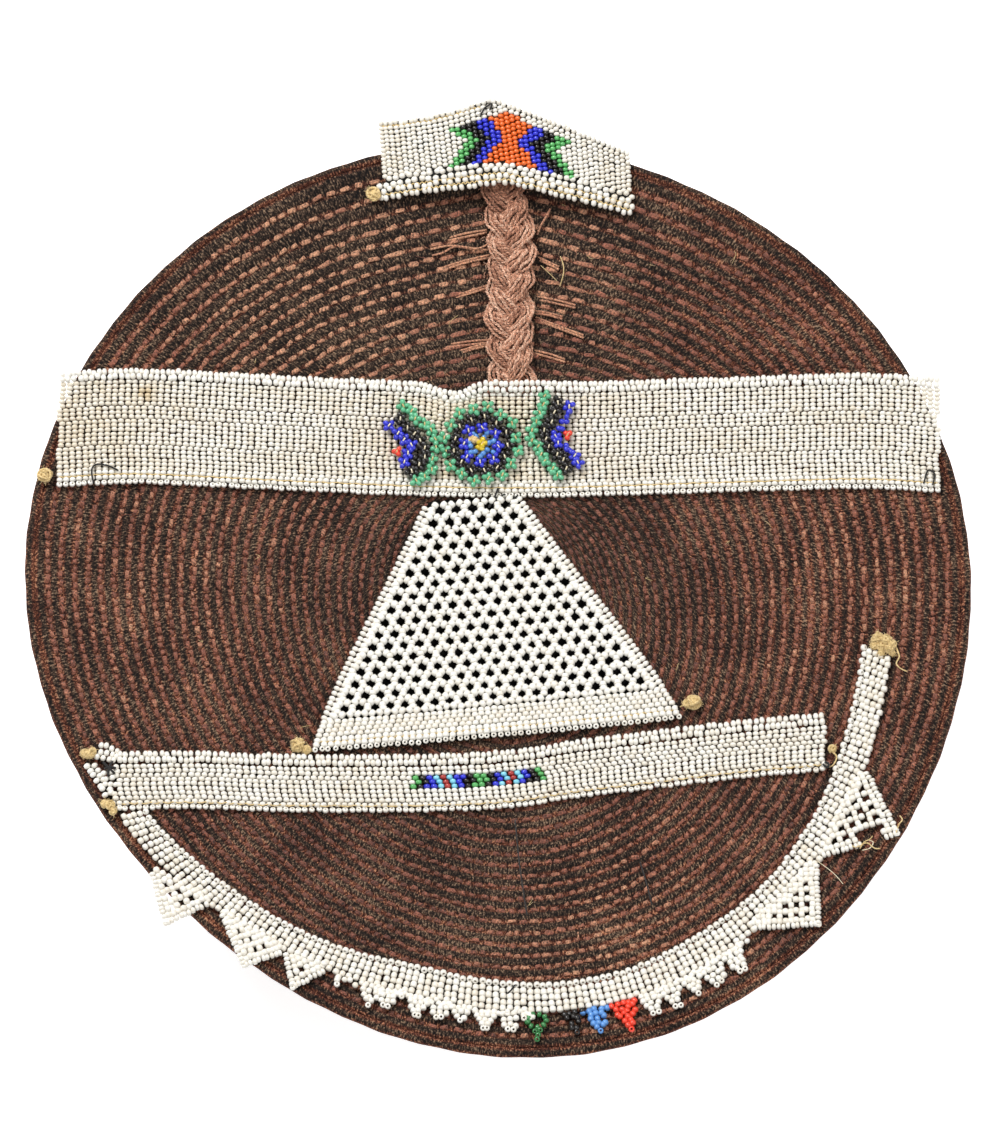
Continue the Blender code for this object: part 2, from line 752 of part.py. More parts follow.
def make_coloured_points(hat):
    """Four small coloured points that hang from the collar's outer edge."""
    for name, direction, base, tip, reach, colour in COLOURED_POINTS:
        inner = COLLAR_WIDTH + EDGE_GAP
        outer = inner + COLLAR_WIDTH * reach
        plan = [
            collar_point(direction - 0.5 * base, inner),
            collar_point(direction + 0.5 * base, inner),
            collar_point(direction + 0.5 * tip, outer),
            collar_point(direction - 0.5 * tip, outer),
        ]
        mesh = sheet_mesh(name, plan, [(0, 1, 2, 3)], on_dish)
        thicken(new_piece(hat, name, mesh, colour, 0.25), BEAD)


def panel_height(x, y):
    """The back panel: a ridge over the braid that falls to the dish at both ends."""
    _, (ridge_x, _) = braid_line()
    left = PANEL_INNER[0][0] * RIM_RADIUS
    right = PANEL_INNER[-1][0] * RIM_RADIUS
    flat = 0.35 * BRAID_WIDTH
    offset = x - ridge_x
    room = (ridge_x - left if offset < 0.0 else right - ridge_x) - flat
    share = min(max((abs(offset) - flat) / room, 0.0), 1.0)
    ridge = BRAID_THICKNESS + 3.0 * LAY_GAP
    return on_dish(x, y) + ridge * (1.0 - share) * (1.0 + 0.5 * share)


def make_back_panel(hat):
    """The panel that lies over the braid's end and stands out past the back of the rim."""
    outer = shares_to_plan(PANEL_OUTER)
    inner = shares_to_plan(PANEL_INNER)
    points = []
    for column in range(2 * PANEL_COLUMNS + 1):
        side = min(column // PANEL_COLUMNS, 1)
        share = column / PANEL_COLUMNS - side
        low = [a + (b - a) * share for a, b in zip(inner[side], inner[side + 1])]
        high = [a + (b - a) * share for a, b in zip(outer[side], outer[side + 1])]
        for row in range(PANEL_ROWS + 1):
            t = row / PANEL_ROWS
            points.append(tuple(a + (b - a) * t for a, b in zip(low, high)))
    mesh = sheet_mesh("back_panel", points, grid_faces(2 * PANEL_COLUMNS, PANEL_ROWS), panel_height)
    return thicken(new_piece(hat, "back_panel", mesh, WHITE_BEADS, 0.3), BEAD)


def make_knot(hat, name, x, y, radius):
    """A thread knot that rests at a plan point: a flattened ball."""
    work = bmesh.new()
    bmesh.ops.create_uvsphere(work, u_segments=8, v_segments=5, radius=radius)
    bed = on_dish(x, y)
    tilt = 1.0 / math.cos(dish_slope(RIM_RADIUS))
    for vertex in work.verts:
        vertex.co.z = vertex.co.z * KNOT_FLATTEN + bed + radius * KNOT_FLATTEN * tilt
        vertex.co.x += x
        vertex.co.y += y
    mesh = bpy.data.meshes.new(name)
    work.to_mesh(mesh)
    work.free()
    mesh.shade_smooth()
    return new_piece(hat, name, mesh, THREAD, 0.85)


def make_knots(hat):
    """The knots that end the sewing threads, each against a corner of the piece that it ends."""
    reach = KNOT_RADIUS + EDGE_GAP
    small = SMALL_KNOT_RADIUS + EDGE_GAP
    wide_x, wide_y = shares_to_plan(WIDE_BAND_LINE)[0]
    make_knot(hat, "wide_band_knot", wide_x - reach, wide_y - 0.42 * WIDE_BAND_WIDTH, KNOT_RADIUS)
    length = net_frame()[3]
    half = 0.5 * NET_BASE_WIDTH
    for name, side, up in (("net_left_knot", -1.0, 0.25), ("net_right_knot", 1.0, 0.4)):
        x, y = net_point(side * (half + reach), length - up * NET_HEM)
        make_knot(hat, name, x, y, KNOT_RADIUS)
    narrow = shares_to_plan(NARROW_BAND_EDGE)
    left_x, left_y = narrow[0]
    right_x, right_y = narrow[-1]
    slant = NARROW_BAND_SLANT
    width = NARROW_BAND_WIDTH
    make_knot(hat, "narrow_band_upper_knot", left_x - small, left_y - 0.08 * width, SMALL_KNOT_RADIUS)
    lower_x = left_x + 0.85 * slant - 1.2 * small
    make_knot(hat, "narrow_band_lower_knot", lower_x, left_y - 0.92 * width, SMALL_KNOT_RADIUS)
    make_knot(hat, "narrow_band_right_knot", right_x + small, right_y - 0.62 * width, SMALL_KNOT_RADIUS)
    panel_x, panel_y = shares_to_plan(PANEL_INNER)[0]
    make_knot(hat, "back_panel_knot", panel_x - 1.15 * reach, panel_y + 0.4 * reach, KNOT_RADIUS)
    end_x, end_y = collar_point(COLLAR_EDGE[-1][0], 0.5 * COLLAR_WIDTH)
    make_knot(hat, "collar_knot", end_x, end_y + reach, KNOT_RADIUS)


def main():
    """Builds the hat."""
    clear_scene()
    empty = bpy.data.objects.new("hat_middle", None)
    hat = {
        "collection": new_collection("isicholo_hat"),
        "cutters": new_collection("cutters"),
        "empty": empty,
    }
    hat["collection"].objects.link(empty)
    empty.location = (RIM_CENTRE_X, RIM_CENTRE_Y, 0.0)
    make_dish(hat)
    make_side(hat)
    make_roll(hat)
    make_braid(hat)
    make_wide_band(hat)
    make_flowers(hat)
    make_net(hat)
    make_narrow_band(hat)
    make_collar(hat)
    make_coloured_points(hat)
    make_back_panel(hat)
    make_knots(hat)


main()
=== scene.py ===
"""The looks of an isicholo, a wide flared hat of quilted cloth with beadwork sewn on its dished top.

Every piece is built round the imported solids, in metres, in their frame. Plan places are measured from the
middle of the rim. The front of the hat is towards -Y.
"""

import logging
import math
from collections.abc import Callable, Sequence
from dataclasses import dataclass, field
from enum import Enum
from functools import partial

import bpy
import numpy as np
from bpy.types import Material, NodeTree, Object
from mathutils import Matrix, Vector


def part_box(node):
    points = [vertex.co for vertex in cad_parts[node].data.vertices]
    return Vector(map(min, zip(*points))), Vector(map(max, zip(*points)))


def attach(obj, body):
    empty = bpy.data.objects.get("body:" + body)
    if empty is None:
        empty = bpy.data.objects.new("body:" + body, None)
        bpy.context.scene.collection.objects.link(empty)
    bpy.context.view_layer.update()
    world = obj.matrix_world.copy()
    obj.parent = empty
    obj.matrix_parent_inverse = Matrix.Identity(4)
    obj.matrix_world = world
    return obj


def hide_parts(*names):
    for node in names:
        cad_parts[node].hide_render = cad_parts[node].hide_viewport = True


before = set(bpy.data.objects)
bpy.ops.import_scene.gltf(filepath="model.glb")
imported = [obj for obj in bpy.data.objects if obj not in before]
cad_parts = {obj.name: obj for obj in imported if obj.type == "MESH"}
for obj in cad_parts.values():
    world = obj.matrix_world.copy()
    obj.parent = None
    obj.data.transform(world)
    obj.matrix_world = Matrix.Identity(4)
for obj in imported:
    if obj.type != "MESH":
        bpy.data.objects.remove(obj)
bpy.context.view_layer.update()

log = logging.getLogger("isicholo")

MM = 0.001
TURN = 2 * math.pi
SHADER = "Principled BSDF"
# Settings of a math node that scales its input and adds to it
SCALED = {"operation": "MULTIPLY_ADD"}
Array = np.ndarray
Points = Sequence[Sequence[float]]
Surface = Callable[[Array, Array], Array]


def linear(hex_code: str) -> tuple[float, float, float, float]:
    """Turns an sRGB hex colour into linear values.

    Args:
        hex_code: Six hex digits, with or without a leading #.

    Returns:
        Linear red, green and blue, and an alpha of 1.
    """
    digits = hex_code.lstrip("#")
    parts = [int(digits[i : i + 2], 16) / 255 for i in (0, 2, 4)]
    return (*[p / 12.92 if p <= 0.04045 else ((p + 0.055) / 1.055) ** 2.4 for p in parts], 1)


def add_node(tree: NodeTree, kind: str, settings: dict = {}, links: dict = {}) -> bpy.types.NodeOutputs:
    """Adds a shader node with its settings and links.

    Args:
        tree: The material's node tree.
        kind: The node's type without its prefix, or the name of the shader that is there from the start.
        settings: A ramp's "stops", inputs by name or number, and properties.
        links: Output sockets by the name or number of the input that they feed.

    Returns:
        The node's outputs.
    """
    node = tree.nodes[kind] if kind == SHADER else tree.nodes.new("ShaderNode" + kind)
    for key, value in settings.items():
        if key == "stops":
            elements = node.color_ramp.elements
            while len(elements) < len(value):
                elements.new(0.5)
            for element, (place, colour) in zip(elements, value):
                element.position, element.color = place, linear(colour)
        elif isinstance(key, int) or key in node.inputs:
            node.inputs[key].default_value = value
        else:
            setattr(node, key, value)
    for key, socket in links.items():
        tree.links.new(socket, node.inputs[key])
    return node.outputs


def new_material(name: str) -> tuple[Material, Callable]:
    """A new material, and add_node for its node tree."""
    material = bpy.data.materials.new(name)
    material.use_nodes = True
    return material, partial(add_node, material.node_tree)


def smooth_fall(distance: Array, flat: float, spread: float) -> Array:
    """1 within flat of a middle, falling smoothly to 0 over the spread beyond it."""
    return 0.5 + 0.5 * np.cos(np.pi * np.clip((np.abs(distance) - flat) / spread, 0, 1))


def through(points: Points, share: Array) -> Array:
    """Places on a smooth line through points.

    Args:
        points: The line's points.
        share: Shares of the way along it.

    Returns:
        A row of coordinates for each share.
    """
    table = np.asarray(points, float)
    place = np.clip(share, 0, 1) * (len(table) - 1)
    start = np.minimum(place.astype(int), len(table) - 2)
    t = (place - start)[:, None]
    p = table[np.maximum(start - 1, 0)]
    q = table[start]
    r = table[start + 1]
    s = table[np.minimum(start + 2, len(table) - 1)]
    return 0.5 * (2 * q + (r - p) * t + (2 * p - 5 * q + 4 * r - s) * t**2 + (3 * q - p - 3 * r + s) * t**3)


def route(points: Points, count: int) -> Array:
    """Places in metres, even shares apart, on a smooth line through points in millimetres."""
    return through(points, np.linspace(0, 1, count)) * MM


def unit(vectors: Array) -> Array:
    """Rows of vectors at length 1."""
    return vectors / np.maximum(np.linalg.norm(vectors, axis=-1, keepdims=True), 1e-9)


def lengths_along(path: Array) -> Array:
    """Length along a path up to each of its points."""
    return np.concatenate(([0.0], np.cumsum(np.linalg.norm(np.diff(path, axis=0), axis=1))))


def ring_turns(count: int) -> Array:
    """Turns of a ring's points, an even step apart."""
    return TURN * np.arange(count) / count


def facing(turns: Array) -> Array:
    """Unit vectors in plan that point in these directions."""
    return np.column_stack([np.cos(turns), np.sin(turns)])


def any_turn(draw: np.random.Generator) -> float:
    """A turn drawn from the whole circle."""
    return draw.uniform(0, 6.28)


def fullness(row: Array) -> Array:
    """How full quilted cloth is by row number: 0 on a line of stitching, and 1 midway to the next."""
    return np.abs(np.sin(np.pi * row)) ** 0.75


def ring_points(turns: Array, radius: Array, height: Array) -> Array:
    """Points round the middle of the hat, row by row, for one turn and a table of radii and heights."""
    along = (radius * np.cos(turns)[:, None], radius * np.sin(turns)[:, None], height)
    return np.stack(along, axis=-1).reshape(-1, 3)


def slopes(bed: Surface, plan: Array) -> Array:
    """How steeply a bed rises towards x and y at plan places."""
    x, y, step = plan[:, 0], plan[:, 1], 1 * MM
    rises = (bed(x + step, y) - bed(x - step, y), bed(x, y + step) - bed(x, y - step))
    return np.column_stack(rises) / (2 * step)


def grid_faces(rows: int, columns: int, wrapped: bool = False) -> tuple[Array, Array, Array]:
    """Faces between the points of a grid whose rows each close on themselves.

    Args:
        rows: Rows of points.
        columns: Points in a row.
        wrapped: Whether the last row joins the first one.

    Returns:
        The row, column and four points of each face.
    """
    i, j = (k.reshape(-1) for k in np.mgrid[: rows if wrapped else rows - 1, :columns])
    after, beside = (i + 1) % rows, (j + 1) % columns
    corners = [i * columns + j, i * columns + beside, after * columns + beside, after * columns + j]
    return i, j, np.stack(corners, axis=1)


def corner_uvs(low_u: Array, high_u: Array, low_v: Array, high_v: Array) -> Array:
    """UVs of four-sided faces, in the order of grid_faces, from the range of u and v of each."""
    corners = ((low_u, low_v), (low_u, high_v), (high_u, high_v), (high_u, low_v))
    return np.stack([np.stack(corner, axis=-1) for corner in corners], axis=-2)


@dataclass(frozen=True)
class HatForm:
    """The hat's large shape, with the sizes that the solids were built to."""

    middle: tuple[float, float] = (1.2 * MM, -5.7 * MM)
    rim_radius: float = 214.5 * MM
    rim_height: float = 140.0 * MM
    depth: float = 32.0 * MM
    wall: float = 5.0 * MM
    opening_radius: float = 92.0 * MM
    upright_base: float = 14.0 * MM
    flare_power: float = 1.25
    roll_radius: float = 2.2 * MM
    waves: tuple[tuple[int, float, float], ...] = ((2, 0.0187, -51), (3, 0.0114, 40), (4, 0.0060, 9))
    lay_gap: float = 0.4 * MM

    def wave(self, angle: Array) -> Array:
        """How far the rim departs from its circle, as a share of the radius."""
        return sum(
            share * np.cos(lobes * (angle - math.radians(crest))) for lobes, share, crest in self.waves
        )

    def rim_at(self, angle: Array) -> Array:
        """The rim's radius in that direction."""
        return self.rim_radius * (1 + self.wave(angle))

    def height(self, x: Array, y: Array) -> Array:
        """Height of the dish at plan places; a straight slope goes on outside the rim."""
        share = np.hypot(x, y) / self.rim_at(np.arctan2(y, x))
        inside = self.rim_height - self.depth * (1 - share**2)
        return np.where(share > 1, self.rim_height + 2 * self.depth * (share - 1), inside)

    def bed(self, x: Array, y: Array) -> Array:
        """Height of the underside of beadwork that lies on the dish."""
        return self.height(x, y) + self.lay_gap

    def rise(self, radius: float) -> float:
        """How steeply the dish climbs at a radius, as an angle."""
        return math.atan(2 * self.depth * radius / self.rim_radius**2)

    def edge_radius(self) -> float:
        """Radius at which the dish's cloth ends, inside the rim's roll."""
        rise = self.rise(self.rim_radius)
        reach = self.roll_radius + (self.lay_gap + self.roll_radius) * math.cos(rise)
        return self.rim_radius - reach - 0.5 * self.wall * math.sin(rise)

    def edge_height(self) -> float:
        """Height of the dish's cloth at its edge."""
        return self.rim_height - self.depth * (1 - (self.edge_radius() / self.rim_radius) ** 2)

    def side_top(self) -> float:
        """Height at which the side's outer face meets the dish's wall."""
        return self.edge_height() - self.wall / math.cos(self.rise(self.edge_radius())) - self.lay_gap

    def side_radius(self, height: Array) -> Array:
        """Radius of the side's outer face at a height, before the rim's waves."""
        base = self.opening_radius + self.wall
        return base + (self.edge_radius() - base) * self.side_spread(height)**self.flare_power

    def side_spread(self, height: Array) -> Array:
        """How much of the rim's waves the side takes at a height."""
        return np.clip((height - self.upright_base) / (self.side_top() - self.upright_base), 0, 1)


HAT = HatForm()


class MeshBatch:
    """Collects the points and faces of one mesh, with a tone, a finish and UVs for each part."""

    def __init__(self) -> None:
        """Starts empty."""
        lists: tuple[list[Array], ...] = tuple([] for _ in range(6))
        self.points, self.tones, self.corners, self.sizes, self.finishes, self.uvs = lists
        self.count = 0

    def add(
        self, points: Array, faces: Sequence[Array], tone: Array | float = 0.5, finish: Array | int = 0,
        uvs: Sequence[Array] | None = None
    ) -> None:
        """Adds points and faces.

        Args:
            points: Rows of x, y and z, measured from the middle of the rim.
            faces: Arrays of faces, each with one number of corners.
            tone: A shade from 0 to 1, for each point or for all.
            finish: The finish's number, for each face or for all.
            uvs: Rows of u and v for the corners of each face array.
        """
        self.points.append(points)
        self.tones.append(np.broadcast_to(np.asarray(tone, float), (len(points),)))
        start = 0
        for number, block in enumerate(faces):
            self.corners.append(block.reshape(-1) + self.count)
            self.sizes.append(np.full(len(block), block.shape[1]))
            if np.ndim(finish):
                self.finishes.append(np.asarray(finish)[start : start + len(block)])
                start += len(block)
            else:
                self.finishes.append(np.full(len(block), finish))
            self.uvs.append(np.zeros((block.size, 2)) if uvs is None else uvs[number].reshape(-1, 2))
        self.count += len(points)

    def build(self, name: str, materials: Sequence[Material]) -> Object:
        """Makes the object.

        Args:
            name: The piece's name.
            materials: Materials by finish number.

        Returns:
            The object, in the scene.
        """
        points = np.concatenate(self.points) + [*HAT.middle, 0]
        corners = np.concatenate(self.corners).astype(np.int32)
        sizes = np.concatenate(self.sizes)
        mesh = bpy.data.meshes.new(name)
        for parts, count, key, values in (
            (mesh.vertices, len(points), "co", points.astype(np.float32)),
            (mesh.loops, len(corners), "vertex_index", corners),
            (mesh.polygons, len(sizes), "loop_start", (np.cumsum(sizes) - sizes).astype(np.int32))
        ):
            parts.add(count)
            parts.foreach_set(key, values.reshape(-1))
        mesh.polygons.foreach_set("material_index", np.concatenate(self.finishes).astype(np.int32))
        mesh.polygons.foreach_set("use_smooth", np.ones(len(sizes), bool))
        uv_layer = mesh.uv_layers.new(name="lie")
        uv_layer.data.foreach_set("uv", np.concatenate(self.uvs).astype(np.float32).reshape(-1))
        shades = mesh.attributes.new("tone", "FLOAT", "POINT")
        shades.data.foreach_set("value", np.concatenate(self.tones).astype(np.float32))
        mesh.update(calc_edges=True)
        for material in materials:
            mesh.materials.append(material)
        piece = bpy.data.objects.new(name, mesh)
        bpy.context.scene.collection.objects.link(piece)
        return piece


def add_tube(
    batch: MeshBatch, path: Array, radius: float | Array, sides: int = 6, tone: float | Array = 0.5,
    finish: int = 0
) -> None:
    """Adds a round tube with closed ends along a path.

    Args:
        batch: The mesh that takes it.
        path: Rows of x, y and z.
        radius: Its radius, for each point or for all.
        sides: Sides of the section.
        tone: Its shade.
        finish: Its finish's number.
    """
    count = len(path)
    along = unit(np.gradient(path, axis=0))
    up = np.array([0, 0, 1])
    across = np.cross(along, up)
    upright = np.linalg.norm(across, axis=1) < 0.05
    across[upright] = np.cross(along[upright], [1, 0, 0])
    across = unit(across)
    out = unit(np.cross(across, along))
    widths = np.broadcast_to(np.asarray(radius, float), (count,))[:, None, None]
    turn = ring_turns(sides)
    ring = across[:, None] * np.cos(turn)[None, :, None] + out[:, None] * np.sin(turn)[None, :, None]
    points = (path[:, None] + ring * widths).reshape(-1, 3)
    i, j, quads = grid_faces(count, sides)
    length = lengths_along(path)
    quad_uvs = corner_uvs(length[i], length[i + 1], j / sides, (j + 1) / sides)[:, ::-1]
    caps = np.stack([np.arange(sides), (count - 1) * sides + np.arange(sides)[::-1]])
    batch.add(points, [quads[:, ::-1], caps], tone, finish, [quad_uvs, np.zeros((caps.size, 2))])


class Colour(Enum):
    """The colours of glass bead on the hat, in the order of their finish numbers."""

    WHITE = 0
    ORANGE = 1
    COBALT = 2
    LEAF_GREEN = 3
    BLACK = 4
    LIGHT_BLUE = 5
    RED = 6
    SEA_GREEN = 7
    BOTTLE_GREEN = 8
    SKY_BLUE = 9
    SCARLET = 10
    YELLOW = 11
    THREAD = 12
    BLACK_THREAD = 13
    PALE_THREAD = 14


@dataclass(frozen=True)
class Bead:
    """A seed bead's turned shape, as shares of its length and radius."""

    sides: int = 7
    outline: Points = ((-0.5, 0.50), (-0.24, 1), (0.24, 1), (0.5, 0.50))
    pierced: bool = False
    hole: float = 0.36

    def mesh(self) -> tuple[Array, list[Array]]:
        """Builds the bead once, with its axis along z, a radius of 1 and a length of 1.

        Returns:
            Its points and its face arrays.
        """
        outline = list(self.outline)
        if self.pierced:
            outline += [(0.40, self.hole), (-0.40, self.hole)]
        turn, side = ring_turns(self.sides), np.arange(self.sides)
        rings = [np.column_stack([r * np.cos(turn), r * np.sin(turn), 0 * turn + z]) for z, r in outline]
        faces = [grid_faces(len(outline), self.sides, self.pierced)[2]]
        if not self.pierced:
            faces.append(np.stack([side[::-1], (len(outline) - 1) * self.sides + side]))
        return np.concatenate(rings), faces


ROUND_BEAD = Bead()
BARREL_BEAD = Bead(outline=((-0.5, 0.68), (-0.30, 1), (0.30, 1), (0.5, 0.68)))
OPEN_BEAD = Bead(sides=8, pierced=True)


@dataclass
class BeadField:
    """Lays beads on a bed and gathers them in one mesh."""

    bed: Surface
    seed: int
    diameter: float = 3.0 * MM
    length: float = 2.02 * MM
    batch: MeshBatch = field(default_factory=MeshBatch)
    beads: int = 0

    def __post_init__(self) -> None:
        """Starts the seeded draw of small differences between beads."""
        self.draw = np.random.default_rng(self.seed)

    def surface(self, plan: Array) -> tuple[Array, Array]:
        """Places on the bed above plan places, and its upward normals."""
        normal = unit(np.column_stack([-slopes(self.bed, plan), np.ones(len(plan))]))
        return np.column_stack([plan, self.bed(*plan.T)]), normal

    def lay(
        self, plan: Array, axis: Array | tuple[float, float], shape: Bead = ROUND_BEAD,
        diameter: float | Array | None = None, length: float | Array | None = None, lift: float | Array = 0,
        tone: Array | float = 0.2, colour: Array | Colour = Colour.WHITE, upright: float = 0,
        jitter: float = 0.10 * MM
    ) -> None:
        """Lays beads at plan places.

        Args:
            plan: Rows of x and y.
            axis: Plan direction of the holes, one for all or a row for each.
            shape: The beads' shape.
            diameter: Across the hole; the field's own if None.
            length: Along the hole; the field's own if None.
            lift: Extra height above the bed.
            tone: Shade, 0 clean and 1 stained.
            colour: One colour, or finish numbers.
            upright: How far the holes stand up, from 0 to 1.
            jitter: Spread of the small differences in place.
        """
        count = len(plan)
        if count == 0:
            return
        wide = (self.diameter if diameter is None else diameter) * self.draw.normal(1, 0.025, count)
        long = (self.length if length is None else length) * self.draw.normal(1, 0.04, count)
        moved = plan + self.draw.normal(0, jitter, (count, 2))
        centre, normal = self.surface(moved)
        rest = 0.5 * wide * (1 - upright) + 0.5 * long * upright
        centre += normal * (rest + lift + self.draw.normal(0, 0.3 * jitter, count))[:, None]
        lying = np.column_stack([np.broadcast_to(axis, (count, 2)), np.zeros(count)])
        lying = unit(lying - normal * (lying * normal).sum(axis=1, keepdims=True))
        lean = self.draw.normal(0, 0.05, (count, 3))
        bore = unit(lying * (1 - upright) + normal * upright + lean)
        side = unit(np.cross(bore, unit(normal + 0.31 * lying + 0.05)))
        third = np.cross(bore, side)
        points, faces = shape.mesh()
        scaled = points[None] * np.stack([0.5 * wide, 0.5 * wide, long], axis=1)[:, None]
        solid = centre[:, None] + scaled[..., :1] * side[:, None] + scaled[..., 1:2] * third[:, None]
        solid = solid + scaled[..., 2:] * bore[:, None]
        shift = (np.arange(count) * len(points))[:, None, None]
        numbers = np.broadcast_to(colour.value if isinstance(colour, Colour) else colour, (count,))
        blocks = [(block[None] + shift).reshape(-1, block.shape[1]) for block in faces]
        finish = np.concatenate([np.repeat(numbers, len(block)) for block in faces])
        shades = tone + self.draw.normal(0, 0.07, count)
        shades = np.repeat(np.clip(shades, 0, 1), len(points))
        self.batch.add(solid.reshape(-1, 3), blocks, shades, finish)
        self.beads += count

    def thread(self, plan: Array, lift: float, radius: float, colour: Colour, tone: float = 0.3) -> None:
        """Adds a thread that runs over plan places at a height above the bed."""
        path, normal = self.surface(plan)
        add_tube(self.batch, path + normal * lift, radius, 5, tone, colour.value)


@dataclass(frozen=True)
class GlassBeads:
    """Soda glass, drawn, cut and fire-polished into seed beads.

    The glaze gives each bead one small hard highlight, and the body colour varies a little from bead to
    bead, because hand-sorted beads come from several batches.
    """

    name: str
    clean: str
    stained: str
    roughness: float = 0.22
    clear: float = 0.0

    def build(self) -> Material:
        """Builds the glass, shaded by each bead's tone.

        Returns:
            The material.
        """
        material, add = new_material(self.name)
        tone = add("Attribute", {"attribute_name": "tone"})["Fac"]
        place = add("TexCoord")["Object"]
        # Grime gathers in patches of about 2 mm, which is less than a bead
        grime = add("TexNoise", {"Scale": 1 / (2 * MM), "Detail": 2}, {"Vector": place})["Fac"]
        spots = add("Math", {**SCALED, 1: 0.22, 2: -0.11}, {0: grime})[0]
        shade = add("Math", {"operation": "ADD", "use_clamp": True}, {0: spots, 1: tone})[0]
        colour = add("ValToRGB", {"stops": ((0, self.clean), (1, self.stained))}, {0: shade})[0]
        gloss = {"Roughness": self.roughness, "IOR": 1.52, "Coat Weight": 0.25, "Coat Roughness": 0.08}
        add(SHADER, {**gloss, "Transmission Weight": self.clear}, {"Base Color": colour})
        return material


@dataclass(frozen=True)
class SpunThread:
    """Cotton sewing thread, spun and waxed: matt, with a faint sheen from its fibres."""

    name: str
    colour: str
    shadow: str

    def build(self) -> Material:
        """Builds the thread's matt finish with the fine stripes of its twist.

        Returns:
            The material.
        """
        material, add = new_material(self.name)
        place = add("TexCoord")["Object"]
        # The plies cross the thread about every 0.6 mm
        fibres = add("TexNoise", {"Scale": 1 / (0.6 * MM), "Detail": 3}, {"Vector": place})["Fac"]
        colour = add("ValToRGB", {"stops": ((0.32, self.shadow), (0.62, self.colour))}, {0: fibres})[0]
        bump = add("Bump", {"Strength": 0.8, "Distance": 0.3 * MM}, {"Height": fibres})[0]
        add(SHADER, {"Roughness": 0.85, "Sheen Weight": 0.2}, {"Base Color": colour, "Normal": bump})
        return material


@dataclass(frozen=True)
class TwistedYarn:
    """Two-ply cotton yarn, dyed red-brown and faded: soft grooves run slanting round it, fibres stand off."""

    name: str
    faded: str
    middle: str
    deep: str
    ply: float = 1.7 * MM
    groove: float = 0.2
    mottle_and_highlights: float = 4.6
    fuzz: float = 0.85 * MM

    def build(self) -> Material:
        """Builds the yarn's colour by tone, with its twist as bump and as painted shade in its grooves, and
        painted highlights and shade from its tufts.

        Returns:
            The material.
        """
        material, add = new_material(self.name)
        lie = add("UVMap", {"uv_map": "lie"})[0]
        split = add("SeparateXYZ", {}, {0: lie})
        # One ply comes round every 1.7 mm along the yarn
        run = add("Math", {"operation": "MULTIPLY", 1: TURN / self.ply}, {0: split[0]})[0]
        slant = add("Math", {**SCALED, 1: TURN}, {0: split[1], 2: run})[0]
        twist = add("Math", {"operation": "SINE"}, {0: slant})[0]
        place = add("TexCoord")["Object"]
        # Tufts of fibre and the dark threads of the cloth that cross the yarn, 1 mm apart, scaled up below
        # into painted highlights and shade
        fine = {"Scale": 1 / self.fuzz, "Detail": 3, "Roughness": 0.7}
        tufts = add("TexNoise", fine, {"Vector": place})["Fac"]
        # Faded places 9 mm across
        patches = add("TexNoise", {"Scale": 1 / (9 * MM), "Detail": 2}, {"Vector": place})["Fac"]
        worn = add("Math", {**SCALED, 1: 0.8, 2: -0.4}, {0: patches})[0]
        tone = add("Attribute", {"attribute_name": "tone"})["Fac"]
        shade = add("Math", {"operation": "ADD", "use_clamp": True}, {0: worn, 1: tone})[0]
        stops = ((0, self.faded), (0.5, self.middle), (1, self.deep))
        body = add("ValToRGB", {"stops": stops}, {0: shade})[0]
        # Painted shade: the twist darkens the yarn's colour along its slanting grooves, and also feeds the
        # bump
        level = {**SCALED, 1: self.groove, 2: 1 - 0.5 * self.mottle_and_highlights}
        grooves = add("Math", level, {0: twist})[0]
        # Painted light: the tufts' noise, scaled up, brightens the yarn into painted highlights and darkens
        # it into painted shade, besides the fibres' own mottle
        light = add("Math", {**SCALED, 1: self.mottle_and_highlights}, {0: tufts, 2: grooves})[0]
        lit = add("Math", {"operation": "MAXIMUM", 1: 0.10}, {0: light})[0]
        colour = add("VectorMath", {"operation": "SCALE"}, {0: body, "Scale": lit})[0]
        bump = add("Bump", {"Strength": 0.9, "Distance": 0.4 * MM}, {"Height": light})[0]
        matt = {"Roughness": 0.92, "Sheen Weight": 0.08, "Sheen Roughness": 0.6}
        add(SHADER, matt, {"Base Color": colour, "Normal": bump})
        return material


